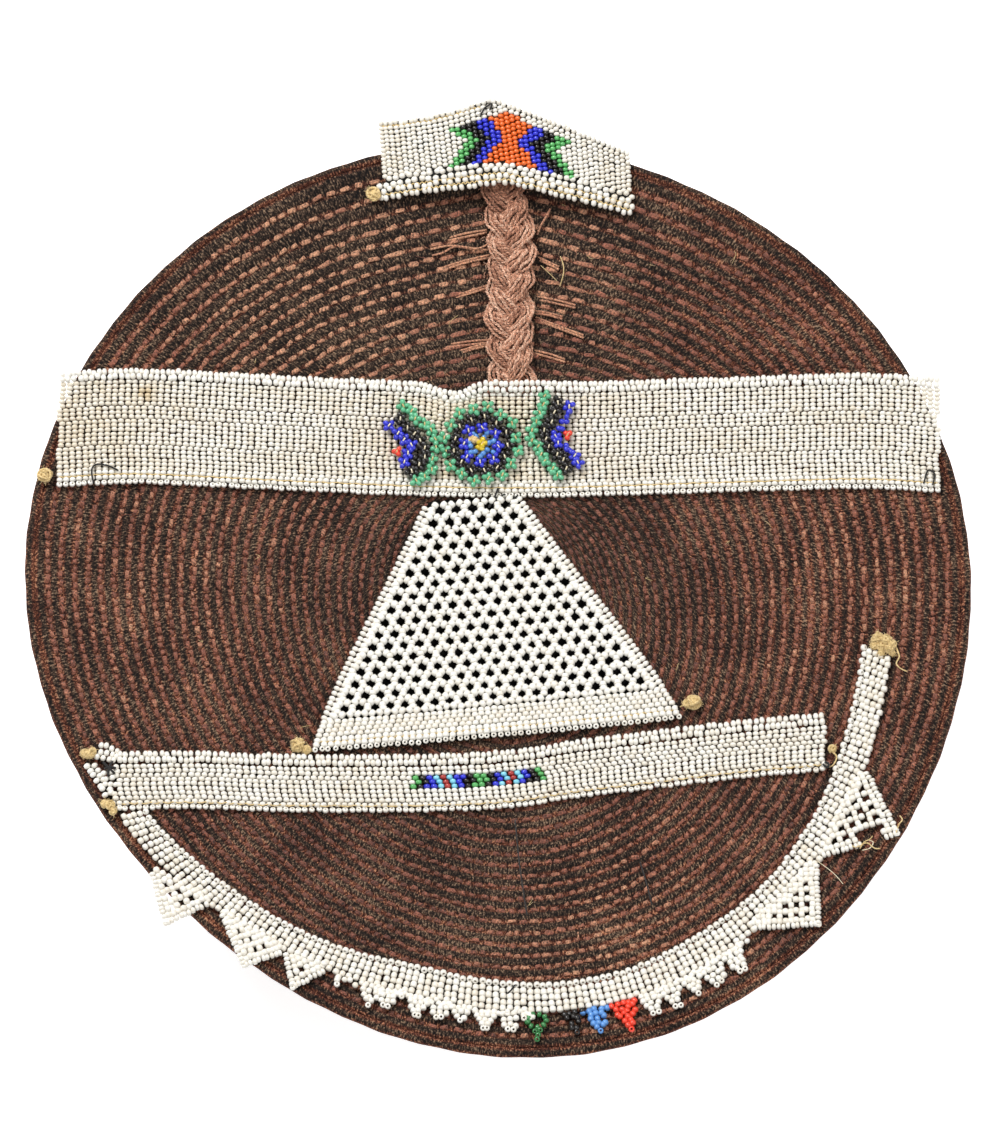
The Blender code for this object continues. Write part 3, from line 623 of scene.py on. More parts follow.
@dataclass(frozen=True)
class OpenCloth:
    """Coarse cotton net, woven open and dyed near black, over a red-brown backing that shows through.

    The eye gets a dark, fuzzy ground, hatched by fine threads that cross the rows, with brown flecks where a
    thread's end catches the light, and the backing's stripe along each line of stitches.
    """

    name: str
    fleck: float = 0.85 * MM
    row: float = 5.8 * MM

    def build(self) -> Material:
        """Builds the cloth's threads, flecks and backing colour by tone.

        Returns:
            The material.
        """
        material, add = new_material(self.name)
        lie = add("UVMap", {"uv_map": "lie"})[0]
        tone = add("Attribute", {"attribute_name": "tone"})["Fac"]
        split = add("SeparateXYZ", {}, {0: lie})
        # Threads cross the rows about 0.85 mm apart and lean a little, coarser than real so that they show
        leaning = {"Rotation": (0, 0, 0.25), "Scale": (1, 0.42, 1)}
        crossing = add("Mapping", leaning, {"Vector": lie})[0]
        threadlike = {"Scale": 1 / self.fleck, "Detail": 4, "Roughness": 0.68}
        hatch = add("TexNoise", threadlike, {"Vector": crossing})["Fac"]
        specks = add("TexNoise", {"Scale": 1 / (0.7 * MM), "Detail": 2}, {"Vector": lie})["Fac"]
        rough = {"Scale": 1 / (2.4 * MM), "Detail": 3, "Roughness": 0.7}
        ragged = add("TexNoise", rough, {"Vector": lie})["Fac"]
        # The backing shows along the line of stitches, with ragged edges
        turned = add("Math", {"operation": "MULTIPLY", 1: TURN / self.row}, {0: split[1]})[0]
        wave = add("Math", {"operation": "COSINE"}, {0: turned})[0]
        stripe = add("Math", {**SCALED, 1: 0.75, 2: -1.35}, {0: wave})[0]
        torn = add("Math", {**SCALED, 1: 2.2}, {0: ragged, 2: stripe})[0]
        shown = {**SCALED, 1: 1.1, "use_clamp": True}
        backing = add("Math", shown, {0: tone, 2: torn})[0]
        # Faded and darker places, each about the size of a hand
        place = add("TexCoord")["Object"]
        hands = add("TexNoise", {"Scale": 1 / (26 * MM), "Detail": 3}, {"Vector": place})["Fac"]
        level = add("Math", {**SCALED, 1: 0.7, 2: -2.40}, {0: hands})[0]
        fine = add("Math", {**SCALED, 1: 1.5}, {0: specks, 2: level})[0]
        # Under the net no light reaches the threads
        dim = add("Math", {"operation": "MINIMUM", 1: 0}, {0: tone})[0]
        shaded = add("Math", {**SCALED, 1: 1.6}, {0: dim, 2: fine})[0]
        threads = add("Math", {**SCALED, 1: 3.6}, {0: hatch, 2: shaded})[0]
        net = ((0, "#080606"), (0.4, "#1D1511"), (0.75, "#49382D"), (1, "#8A725C"))
        under = ((0, "#160B08"), (0.4, "#44231A"), (0.75, "#7C4836"), (1, "#BC8664"))
        dark = add("ValToRGB", {"stops": net}, {0: threads})[0]
        red = add("ValToRGB", {"stops": under}, {0: threads})[0]
        colour = add("Mix", {"data_type": "RGBA"}, {0: backing, 6: dark, 7: red})[2]
        bump = add("Bump", {"Strength": 1, "Distance": 0.7 * MM}, {"Height": hatch})[0]
        matt = {"Roughness": 0.97, "Specular IOR Level": 0.25}
        add(SHADER, matt, {"Base Color": colour, "Normal": bump})
        return material


BEAD_FINISHES: dict[Colour, GlassBeads | SpunThread] = {
    Colour.WHITE: GlassBeads("opaque_white_glass_beads", "#E9E6DE", "#C4AC80", 0.24),
    Colour.ORANGE: GlassBeads("opaque_orange_glass_beads", "#E46A26", "#C24E14", 0.25),
    Colour.COBALT: GlassBeads("opaque_cobalt_glass_beads", "#3036CC", "#1B1F86", 0.2),
    Colour.LEAF_GREEN: GlassBeads("opaque_leaf_green_glass_beads", "#5DAE62", "#2F7E42", 0.22),
    Colour.BLACK: GlassBeads("opaque_black_glass_beads", "#17110F", "#080606", 0.2),
    Colour.LIGHT_BLUE: GlassBeads("opaque_light_blue_glass_beads", "#86D0E6", "#4FA4C8", 0.22),
    Colour.RED: GlassBeads("opaque_dark_red_glass_beads", "#A8322C", "#6E1F1E", 0.22),
    Colour.SEA_GREEN: GlassBeads("translucent_sea_green_glass_beads", "#74CF9E", "#3F9468", 0.16, 0.25),
    Colour.BOTTLE_GREEN: GlassBeads("translucent_bottle_green_glass_beads", "#3F8A4C", "#22592F", 0.16, 0.15),
    Colour.SKY_BLUE: GlassBeads("opaque_sky_blue_glass_beads", "#5C92D2", "#3566A6", 0.2),
    Colour.SCARLET: GlassBeads("opaque_scarlet_glass_beads", "#E8432C", "#C02A1B", 0.22),
    Colour.YELLOW: GlassBeads("translucent_yellow_glass_beads", "#F0D428", "#C09A10", 0.14, 0.2),
    Colour.THREAD: SpunThread("tan_cotton_sewing_thread", "#E0C690", "#AE9054"),
    Colour.BLACK_THREAD: SpunThread("black_cotton_sewing_thread", "#1C1917", "#0D0B0B"),
    Colour.PALE_THREAD: SpunThread("undyed_cotton_sewing_thread", "#F2E8CC", "#CDBB94")
}


@dataclass
class Workshop:
    """The finishes, built once, and how a finished piece is handed to the frame."""

    beads: list[Material] = field(default_factory=list)

    def __post_init__(self) -> None:
        """Builds every finish."""
        self.beads = [BEAD_FINISHES[colour].build() for colour in Colour]
        self.cloth = OpenCloth("open_dyed_cotton_cloth").build()
        self.yarn = TwistedYarn("faded_red_brown_cotton_yarn", "#CC9472", "#9C5E48", "#6A3C2E").build()
        self.cord_yarn = TwistedYarn(
            "plaited_cotton_yarn", "#FCCCAE", "#D89C7C", "#9A644A", 1.5 * MM, 0.1, 3.4, 0.6 * MM
        ).build()

    def place(self, piece: Object, slot: str, *nodes: str) -> None:
        """Rides a piece on the hat.

        Args:
            piece: The finished piece.
            slot: The record's material slot; not used.
            nodes: The solids that it stands for.
        """
        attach(piece, "root")
        if nodes:
            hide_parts(*nodes)
        log.info("%s: %d faces", piece.name, len(piece.data.polygons))

    def place_beads(self, bead_field: BeadField, name: str, slot: str, *nodes: str) -> None:
        """Builds a bead field with only the finishes that it uses, and rides it on the hat.

        Args:
            bead_field: The beads.
            name: The piece's name.
            slot: The record's material slot.
            nodes: The solids that the piece stands for.
        """
        batch = bead_field.batch
        used = sorted({int(n) for block in batch.finishes for n in np.unique(block)})
        renumber = {number: place for place, number in enumerate(used)}
        batch.finishes = [np.array([renumber[int(n)] for n in block]) for block in batch.finishes]
        log.info("%s: %d beads", name, bead_field.beads)
        self.place(batch.build(name, [self.beads[n] for n in used]), slot, *nodes)


@dataclass
class SubAssembly:
    """A part of the hat, dressed with the workshop's finishes."""

    shop: Workshop


@dataclass
class BeadStrip(SubAssembly):
    """Beadwork in rows along a line, with the beads of a row an even distance apart."""

    samples = 1200

    def bed(self, x: Array, y: Array) -> Array:
        """Height of the beadwork's underside."""
        return HAT.bed(x, y)

    def place(self, share: Array, across: Array | float) -> Array:
        """Plan places by share along the strip and place across it."""
        raise NotImplementedError

    def spaced(self, pitch: float, across: float, shift: float = 0) -> Array:
        """Shares along the strip for beads an even distance apart.

        Args:
            pitch: The beads' spacing.
            across: Where the row lies across the strip.
            shift: How far the first bead is moved along, as a share of the spacing.

        Returns:
            The shares.
        """
        shares = np.linspace(0, 1, self.samples)
        plan = self.place(shares, across)
        travelled = lengths_along(np.column_stack([plan, self.bed(*plan.T)]))
        count = int(travelled[-1] / pitch)
        at = (np.arange(count) + 0.5 + shift) * travelled[-1] / count
        return np.interp(at[(at > 0) & (at < travelled[-1])], travelled, shares)

    def row(self, pitch: float, across: float, shift: float = 0) -> Array:
        """Plan places of a row's beads."""
        return self.place(self.spaced(pitch, across, shift), across)


@dataclass
class QuiltRows:
    """The rows of running stitch on the dish, which follow the rim and close in on a pole by the seam.

    Rows are numbered from the rim inwards. Fewer lie behind the pole than in front of it, so the inner rows
    run fanwise into it.
    """

    pole: tuple[float, float] = (2.3 * MM, 50 * MM)
    front_rows: float = 50.0
    counts: tuple[float, ...] = (49, 45.6, 39, 34, 29, 27, 26, 27.8, 29.6, 31.2, 36.5, 44.5, 49)
    seam_rise: float = 7.5 * MM
    seam_reach: float = 34.0 * MM
    overlap: float = 1.3 * MM

    def rows_at(self, turn: Array) -> Array:
        """How many rows lie between the rim and the pole, by the turn from the seam."""
        share = ((np.atleast_1d(turn) + np.pi) % (TURN)) / (TURN)
        return through([(count,) for count in self.counts], share)[:, 0]

    def ray(self, turn: Array) -> Array:
        """Distance from the pole to the edge of the dish's cloth, by the turn from the seam.

        Args:
            turn: The turns.

        Returns:
            The distances.
        """
        dx, dy = np.sin(turn), np.cos(turn)
        low = np.full(np.shape(turn), 0.05)
        high = np.full(np.shape(turn), 0.35)
        inset = (HAT.edge_radius() + self.overlap) / HAT.rim_radius
        for _ in range(30):
            middle = 0.5 * (low + high)
            x, y = self.pole[0] + dx * middle, self.pole[1] + dy * middle
            inside = np.hypot(x, y) < HAT.rim_at(np.arctan2(y, x)) * inset
            low = np.where(inside, middle, low)
            high = np.where(inside, high, middle)
        return 0.5 * (low + high)

    def plan(self, turn: Array, row: Array) -> Array:
        """Plan places of a row.

        Args:
            turn: Turns from the seam, clockwise seen from above.
            row: Row numbers, 0 at the edge of the cloth.

        Returns:
            Rows of x and y.
        """
        share = np.clip(1 - row / self.rows_at(turn), 0, 1)
        reach = share * self.ray(turn)
        x = self.pole[0] + np.sin(turn) * reach
        y = self.pole[1] + np.cos(turn) * reach
        behind = np.clip(np.cos(turn), 0, 1)
        settled = np.clip((1 - share) / 0.12, 0, 1) * np.clip(share / 0.3, 0, 1)
        drop = self.seam_rise * (1 - np.exp(-np.abs(x - self.pole[0]) / self.seam_reach))
        return np.stack([x, y - drop * behind * settled], axis=-1)


ROWS = QuiltRows()


def blend_tone(x: Array, y: Array, base: float, spots: Sequence[tuple[float, float, float, float]]) -> Array:
    """A tone that changes smoothly over the dish.

    Args:
        x: Plan places across.
        y: Plan places back.
        base: The tone away from every spot.
        spots: Each spot's middle and radius in millimetres, and how far it moves the tone.

    Returns:
        Tones from 0 to 1.
    """
    tone = np.full(np.shape(x), base)
    for spot_x, spot_y, radius, change in spots:
        tone = tone + change * np.exp(-((x - spot_x * MM) ** 2 + (y - spot_y * MM) ** 2) / (radius * MM) ** 2)
    return np.clip(tone, 0, 1)


# The spot at (10, 10) darkens the cloth in the dish's hollow middle: painted shade
GROUND_SPOTS = (
    (-75, 150, 95, -0.62), (35, 150, 50, -0.40), (112, 120, 40, 0.20), (0, -165, 50, -0.22),
    (-40, -115, 70, -0.14), (-95, -115, 60, 0.10), (10, 10, 85, -0.32), (0, 100, 34, -0.40),
    (155, -10, 60, 0.25)
)
# The spot at (10, 10) deepens the yarn's colour in the dish's hollow middle: painted shade
YARN_SPOTS = (
    (-75, 150, 85, -0.66), (25, 150, 40, -0.34), (100, 140, 50, 0.10), (-150, 0, 60, -0.18),
    (40, -168, 55, -0.45), (-40, -115, 70, 0.26), (-100, -125, 50, 0.20), (10, 10, 90, 0.42),
    (0, 100, 34, 0.45), (155, 0, 60, -0.28)
)


@dataclass
class QuiltedTop(SubAssembly):
    """The dished top: one closed skin whose rows puff up between the lines of stitching.

    The shade says how deep in the net's shadow plan places lie, from 0 to 1.
    """

    shade: Surface
    columns: int = 236
    per_row: int = 4
    puff: float = 1.7 * MM
    proud: float = 0.15 * MM
    under_rings: int = 10
    seed: int = 11

    def relief(self, row: Array, wobble: Array) -> Array:
        """Depth of the skin below its crest, by row number."""
        return self.proud - self.puff * (1 - fullness(row) * wobble)

    def build(self) -> None:
        """Builds the top."""
        phase = any_turn(np.random.default_rng(self.seed))
        turns = ring_turns(self.columns)
        levels = np.floor(ROWS.rows_at(turns) * self.per_row - 0.6).astype(int)
        points: list[Array] = []
        lies: list[Array] = []
        starts: list[int] = []
        total = 0
        for turn, top_level in zip(turns, levels):
            row = np.arange(top_level + 1) / self.per_row
            plan = ROWS.plan(np.full(len(row), turn), row)
            wobble = 0.86 + 0.14 * np.sin(9 * turn + row * 1.7 + phase) * np.sin(23 * turn - row * 0.9)
            z = HAT.height(*plan.T) + self.relief(row, wobble)
            points.append(np.column_stack([plan, z]))
            lies.append(np.column_stack([np.full(len(row), turn), row]))
            starts.append(total)
            total += len(row)
        pole_z = HAT.height(*ROWS.pole) - self.puff
        points.append(np.array([[*ROWS.pole, pole_z]]))
        lies.append(np.array([[0, ROWS.front_rows]]))
        pole = total
        quads: list[tuple[int, int, int, int]] = []
        wedges: list[tuple[int, int, int]] = []
        for i in range(self.columns):
            j = (i + 1) % self.columns
            shared = min(levels[i], levels[j])
            quads += [
                (starts[i] + k, starts[i] + k + 1, starts[j] + k + 1, starts[j] + k) for k in range(shared)
            ]
            a, b = starts[i] + shared, starts[j] + shared
            longer = i if levels[i] > levels[j] else j
            inner = [starts[longer] + k for k in range(shared, max(levels[i], levels[j]) + 1)]
            other = b if longer == i else a
            for first, second in zip(inner, inner[1:]):
                wedges.append((first, second, other) if longer == i else (second, first, other))
            wedges.append((inner[-1], pole, other) if longer == i else (pole, inner[-1], other))
        self.close_under(points, lies, quads, wedges, starts)
        solid = np.concatenate(points)
        lie = np.concatenate(lies)
        quad_block, wedge_block = np.array(quads), np.array(wedges)
        uvs = [self.spread_lie(lie[quad_block]), self.spread_lie(lie[wedge_block])]
        x, y = solid[:, :2].T
        tone = blend_tone(x, y, 0.62, GROUND_SPOTS) - 2 * self.shade(x, y)
        batch = MeshBatch()
        batch.add(solid, [quad_block, wedge_block], tone, 0, uvs)
        self.shop.place(batch.build("quilted_top", [self.shop.cloth]), "quilted_cloth", "dish_top")

    def spread_lie(self, corners: Array) -> Array:
        """Turns each face's turns and row numbers into lengths along and across its row.

        Args:
            corners: Turn and row number at each corner of each face.

        Returns:
            UVs in metres.
        """
        turns = TURN * np.arange(self.columns + 1) / self.columns
        rows = np.arange(int(ROWS.front_rows) + 1)
        lines = ROWS.plan(
            np.repeat(turns, len(rows)), np.tile(rows + 0.5, len(turns))
        ).reshape(len(turns), len(rows), 2)
        steps = np.linalg.norm(np.diff(lines, axis=0), axis=2)
        travelled = np.concatenate([np.zeros((1, len(rows))), np.cumsum(steps, axis=0)])
        turn, row = corners[..., 0].copy(), corners[..., 1]
        wrapped = (turn.max(axis=1) - turn.min(axis=1)) > 3
        turn = np.where(wrapped[:, None] & (turn < 3), turn + TURN, turn)
        column = np.clip(np.rint(turn * self.columns / TURN), 0, self.columns).astype(int)
        line = np.clip(np.floor(row.min(axis=1) + 0.01), 0, rows[-1]).astype(int)
        return np.stack([travelled[column, line[:, None]], row * 5.8 * MM], axis=-1)

    def close_under(
        self, points: list[Array], lies: list[Array], quads: list[tuple[int, int, int, int]],
        wedges: list[tuple[int, int, int]], starts: list[int]
    ) -> None:
        """Adds the square edge and the plain underside.

        Args:
            points: The top's points, added to.
            lies: Their turns and rows, added to.
            quads: The four-sided faces, added to.
            wedges: The three-sided faces, added to.
            starts: Number of each column's first point.
        """
        turns = ring_turns(self.columns)
        base = sum(len(block) for block in points)
        edge = ROWS.plan(turns, np.zeros(self.columns))
        rings = np.linspace(1, 0, self.under_rings + 1)[:-1]
        for ring in rings:
            plan = edge * ring
            z = HAT.height(*plan.T) - HAT.wall
            points.append(np.column_stack([plan, z]))
            lies.append(np.column_stack([turns, np.full(self.columns, 36 * (1 - ring))]))
        centre = base + self.under_rings * self.columns
        points.append(np.array([[0, 0, HAT.rim_height - HAT.depth - HAT.wall]]))
        lies.append(np.array([[0, 36]]))
        for i in range(self.columns):
            j = (i + 1) % self.columns
            quads.append((base + i, starts[i], starts[j], base + j))
            for ring in range(self.under_rings - 1):
                a, b = base + ring * self.columns + i, base + ring * self.columns + j
                quads.append((b, b + self.columns, a + self.columns, a))
            last = base + (self.under_rings - 1) * self.columns
            wedges.append((last + j, centre, last + i))


@dataclass
class Stitches:
    """Dashes of thick doubled yarn that surface along a row of running stitch."""

    seed: int
    section: Points = ((1, 0), (0.62, 0.86), (0, 0.50), (-0.62, 0.86), (-1, 0), (0, -0.7))
    places: tuple[float, ...] = (-0.5, -0.30, 0.30, 0.5)
    girths: tuple[float, ...] = (0.40, 0.96, 1, 0.40)
    rises: tuple[float, ...] = (-0.42, 0.16, 0.16, -0.42)
    batch: MeshBatch = field(default_factory=MeshBatch)
    count: int = 0

    def __post_init__(self) -> None:
        """Starts the seeded draw of stitch lengths and tones."""
        self.draw = np.random.default_rng(self.seed)

    def dashes(
        self, middles: Array, along: Array, out: Array, lengths: Array, widths: Array, tones: Array
    ) -> None:
        """Adds plump dashes, each two strands side by side that dip into the cloth at both ends.

        Args:
            middles: Rows of x, y and z at the cloth's face.
            along: Unit vectors along the row.
            out: Unit vectors out of the cloth.
            lengths: Length of each dash.
            widths: Width of each dash.
            tones: Shade of each dash.
        """
        count = len(middles)
        if count == 0:
            return
        along = unit(along)
        across = unit(np.cross(out, along))
        out = np.cross(along, across)
        places, girths, rises, outline = map(np.array, (self.places, self.girths, self.rises, self.section))
        sides = len(outline)
        bend = self.draw.normal(0, 0.13, (count, 1)) + self.draw.normal(0, 0.11, (count, len(places)))
        uneven = girths[None] * self.draw.uniform(0.76, 1.14, (count, len(places)))
        ring = across[:, None, None] * outline[:, :1] + out[:, None, None] * (0.72 * outline[:, 1:])
        line = middles[:, None] + along[:, None] * (places * lengths[:, None])[..., None]
        line = line + out[:, None] * (rises * widths[:, None])[..., None]
        line = line + across[:, None] * (bend * widths[:, None])[..., None]
        solid = line[:, :, None] + ring * (0.5 * uneven * widths[:, None])[..., None, None]
        per = len(places) * sides
        i, j, quads = grid_faces(len(places), sides)
        ends = np.stack([np.arange(sides)[::-1], (len(places) - 1) * sides + np.arange(sides)])
        shift = (np.arange(count) * per)[:, None, None]
        low_u, high_u = (places[k] * lengths[:, None] for k in (i, i + 1))
        low_v, high_v = (np.broadcast_to(k / sides, low_u.shape) for k in (j, j + 1))
        blocks = [(quads[None] + shift).reshape(-1, 4), (ends[None] + shift).reshape(-1, sides)]
        uvs = [corner_uvs(low_u, high_u, low_v, high_v), np.zeros((blocks[1].size, 2))]
        self.batch.add(solid.reshape(-1, 3), blocks, np.repeat(tones, per), 0, uvs)
        self.count += count


@dataclass
class TopStitching(SubAssembly):
    """All the stitches that show on the dish, and the loose yarn ends by the seam.

    The test called hidden says whether beadwork lies on plan places. Each size is a pair, far from the seam
    and by it.
    """

    hidden: Surface
    stitch: tuple[float, float] = (3.7 * MM, 5.6 * MM)
    gap: tuple[float, float] = (1.25 * MM, 2.3 * MM)
    width: tuple[float, float] = (2.2 * MM, 2.5 * MM)
    long_share: float = 0.13
    loose_hairs: int = 150
    seed: int = 23

    def near_seam(self, x: Array | float, y: Array | float) -> Array:
        """1 by the back seam, where the stitches are longer and wider, falling to 0 far from it."""
        return np.exp(-((x / 0.10) ** 2)) * np.clip((y - 0.06) / 0.05, 0, 1)

    def sized(self, sizes: tuple[float, float], near: Array | float) -> Array:
        """A size between the one far from the seam and the one by it."""
        return sizes[0] + (sizes[1] - sizes[0]) * near

    def build(self) -> None:
        """Builds the stitches."""
        work = Stitches(self.seed)
        turns = np.linspace(0, TURN, 2200)
        dashes: list[tuple[float, ...]] = []
        for row in range(1, int(ROWS.front_rows)):
            shown = ROWS.rows_at(turns) > row + 1.2
            if not shown.any():
                continue
            line = ROWS.plan(turns[shown], np.full(int(shown.sum()), float(row)))
            travelled = lengths_along(line)
            at = work.draw.uniform(0, 6 * MM)
            while at < travelled[-1]:
                x, y = (np.interp(at, travelled, along) for along in line.T)
                near = self.near_seam(x, y)
                size = self.sized(self.stitch, near) * work.draw.uniform(0.66, 1.32)
                if near > 0.4 and work.draw.uniform() < self.long_share:
                    size *= 1.7
                beside = min(max((abs(x) - 0.07) / 0.06, 0), 1) * (1 - near)
                gap = self.sized(self.gap, near) - 1 * MM * beside
                ends = (at + 0.5 * size, at + 0.5 * size + 1.5 * MM)
                (x, ahead_x), (y, ahead_y) = (np.interp(ends, travelled, along) for along in line.T)
                dashes.append((x, y, ahead_x - x, ahead_y - y, size, work.draw.normal(0, 0.13)))
                at += size + gap * work.draw.uniform(0.5, 1.7)
        table = np.array(dashes)
        table = table[~self.hidden(table[:, 0], table[:, 1])]
        plan, way, length, tone = table[:, :2], table[:, 2:4], table[:, 4], table[:, 5]
        plan += work.draw.normal(0, 0.22 * MM, plan.shape)
        slope = slopes(HAT.height, plan)
        out = unit(np.column_stack([-slope, np.ones(len(plan))]))
        along = np.column_stack([way, (way * slope).sum(axis=1)])
        base = np.column_stack([plan, HAT.height(*plan.T) - 1 * MM])
        near = self.near_seam(plan[:, 0], plan[:, 1])
        inner = np.exp(-(np.hypot(plan[:, 0] - 0.01, plan[:, 1] - 0.01) ** 2) / 0.08**2)
        widths = self.sized(self.width, near) - 0.4 * MM * inner
        widths *= work.draw.uniform(0.82, 1.14, len(plan))
        tones = np.clip(blend_tone(plan[:, 0], plan[:, 1], 0.64, YARN_SPOTS) + tone, 0, 1)
        work.dashes(base, along, out, length, widths, tones)
        self.loose_ends(work)
        self.hairs(work)
        log.info("top stitches: %d", work.count)
        threads = [self.shop.beads[colour.value] for colour in (Colour.THREAD, Colour.BLACK_THREAD)]
        self.shop.place(work.batch.build("top_stitches", [self.shop.yarn, *threads]), "quilted_cloth")

    def strand(self, work: Stitches, points: Points, radius: float, tone: float, finish: int = 0) -> None:
        """Adds a strand over the cloth.

        Args:
            work: The dish's stitches.
            points: Plan places and heights above the cloth, in millimetres.
            radius: Its radius.
            tone: Its shade.
            finish: 0 for yarn, 1 for tan thread, 2 for black thread.
        """
        line = route(points, 18)
        line[:, 2] += HAT.height(*line[:, :2].T)
        add_tube(work.batch, line, radius, 6 if finish == 0 else 4, tone, finish)

    def loose_ends(self, work: Stitches) -> None:
        """Adds the yarn ends left long beside the seam cord, and the long stitches that run under it.

        Args:
            work: The dish's stitches.
        """
        for number, points in enumerate(
            (
                (
                    (-32.8, 164.6, 0.4), (-24, 166.2, 1.2), (-16, 165.3, 1.8), (-10.6, 164.5, 2.6),
                    (-6, 166, 3.4)
                ), ((-32, 161.9, 0.3), (-27, 163, 1), (-21, 165.6, 1.7), (-12, 164.3, 1.5), (-6, 164, 2.4)),
                ((23.2, 182.9, 1), (20.6, 178, 2.2), (18.4, 174.4, 1.8), (17, 171.4, 0.6))
            )
        ):
            self.strand(work, points, 0.5 * MM, 0.06 + 0.08 * number)
        for number, (x0, y0, x1, y1) in enumerate(
            (
                (-24.6, 169.9, -6.5, 173.1), (-26.9, 156.4, -5, 161.7), (-20.8, 143.5, -4, 148.3),
                (-23.1, 120.8, -4, 122.4), (-19.4, 117.5, -4, 121), (17, 161.3, 27.2, 155.9),
                (16, 143, 34.9, 138.1), (15, 136.4, 28.9, 132.9), (16.4, 133.2, 38.6, 124.1),
                (15, 118, 30, 113)
            )
        ):
            for side in (-0.62, 0.62):
                lean = 0.3 * math.sin(number * 2.1 + side)
                middle = (0.5 * (x0 + x1), 0.5 * (y0 + y1) + side + lean, 0.45)
                points = ((x0, y0 + side, -0.9), middle, (x1, y1 + side, 0.4))
                self.strand(work, points, 0.56 * MM, 0.04 + 0.05 * (number % 4))

    def hairs(self, work: Stitches) -> None:
        """Adds the threads and joins that lie on the cloth, and the short hairs that stand off it.

        Args:
            work: The dish's stitches.
        """
        for radius, tone, finish, points in (
            (0.26, 0, 1, ((27.9, 161.1, 1), (29.2, 156.4, 3.2), (29.2, 152.1, 3.4), (27.6, 147.4, 0.6))),
            (0.18, 0, 1, ((18.7, 156.8, 1.8), (22, 153.6, 2.4), (26.3, 149.7, 1.4))),
            (0.3, 0.5, 2, ((6.5, -106.2, 0), (8.7, -129.3, 0), (11.8, -151.8, 0))),
            (0.3, 0.5, 2, ((62.6, -127, 0), (65.5, -138, 0), (67.6, -147.7, 0))),
            (0.3, 0, 0, ((34, -164, 0.8), (34.6, -162.4, 1.6), (34.4, -160.4, 1.5)))
        ):
            self.strand(work, points, radius * MM, tone, finish)
        for _ in range(self.loose_hairs):
            turn, share = any_turn(work.draw), math.sqrt(work.draw.uniform(0.04, 1))
            reach = 0.97 * share * HAT.rim_at(turn) / MM
            foot = np.array([reach * math.cos(turn), reach * math.sin(turn)])
            lean = work.draw.normal(0, 1.7, (2, 2))
            points = ((*foot, -0.4), (*(foot + lean[0]), 1.5), (*(foot + lean.sum(axis=0)), 1.1))
            line = route(points, 5)
            line[:, 2] += HAT.height(*line[:, :2].T)
            add_tube(work.batch, line, 0.13 * MM, 3, 0.5, 1 if work.draw.uniform() < 0.2 else 0)


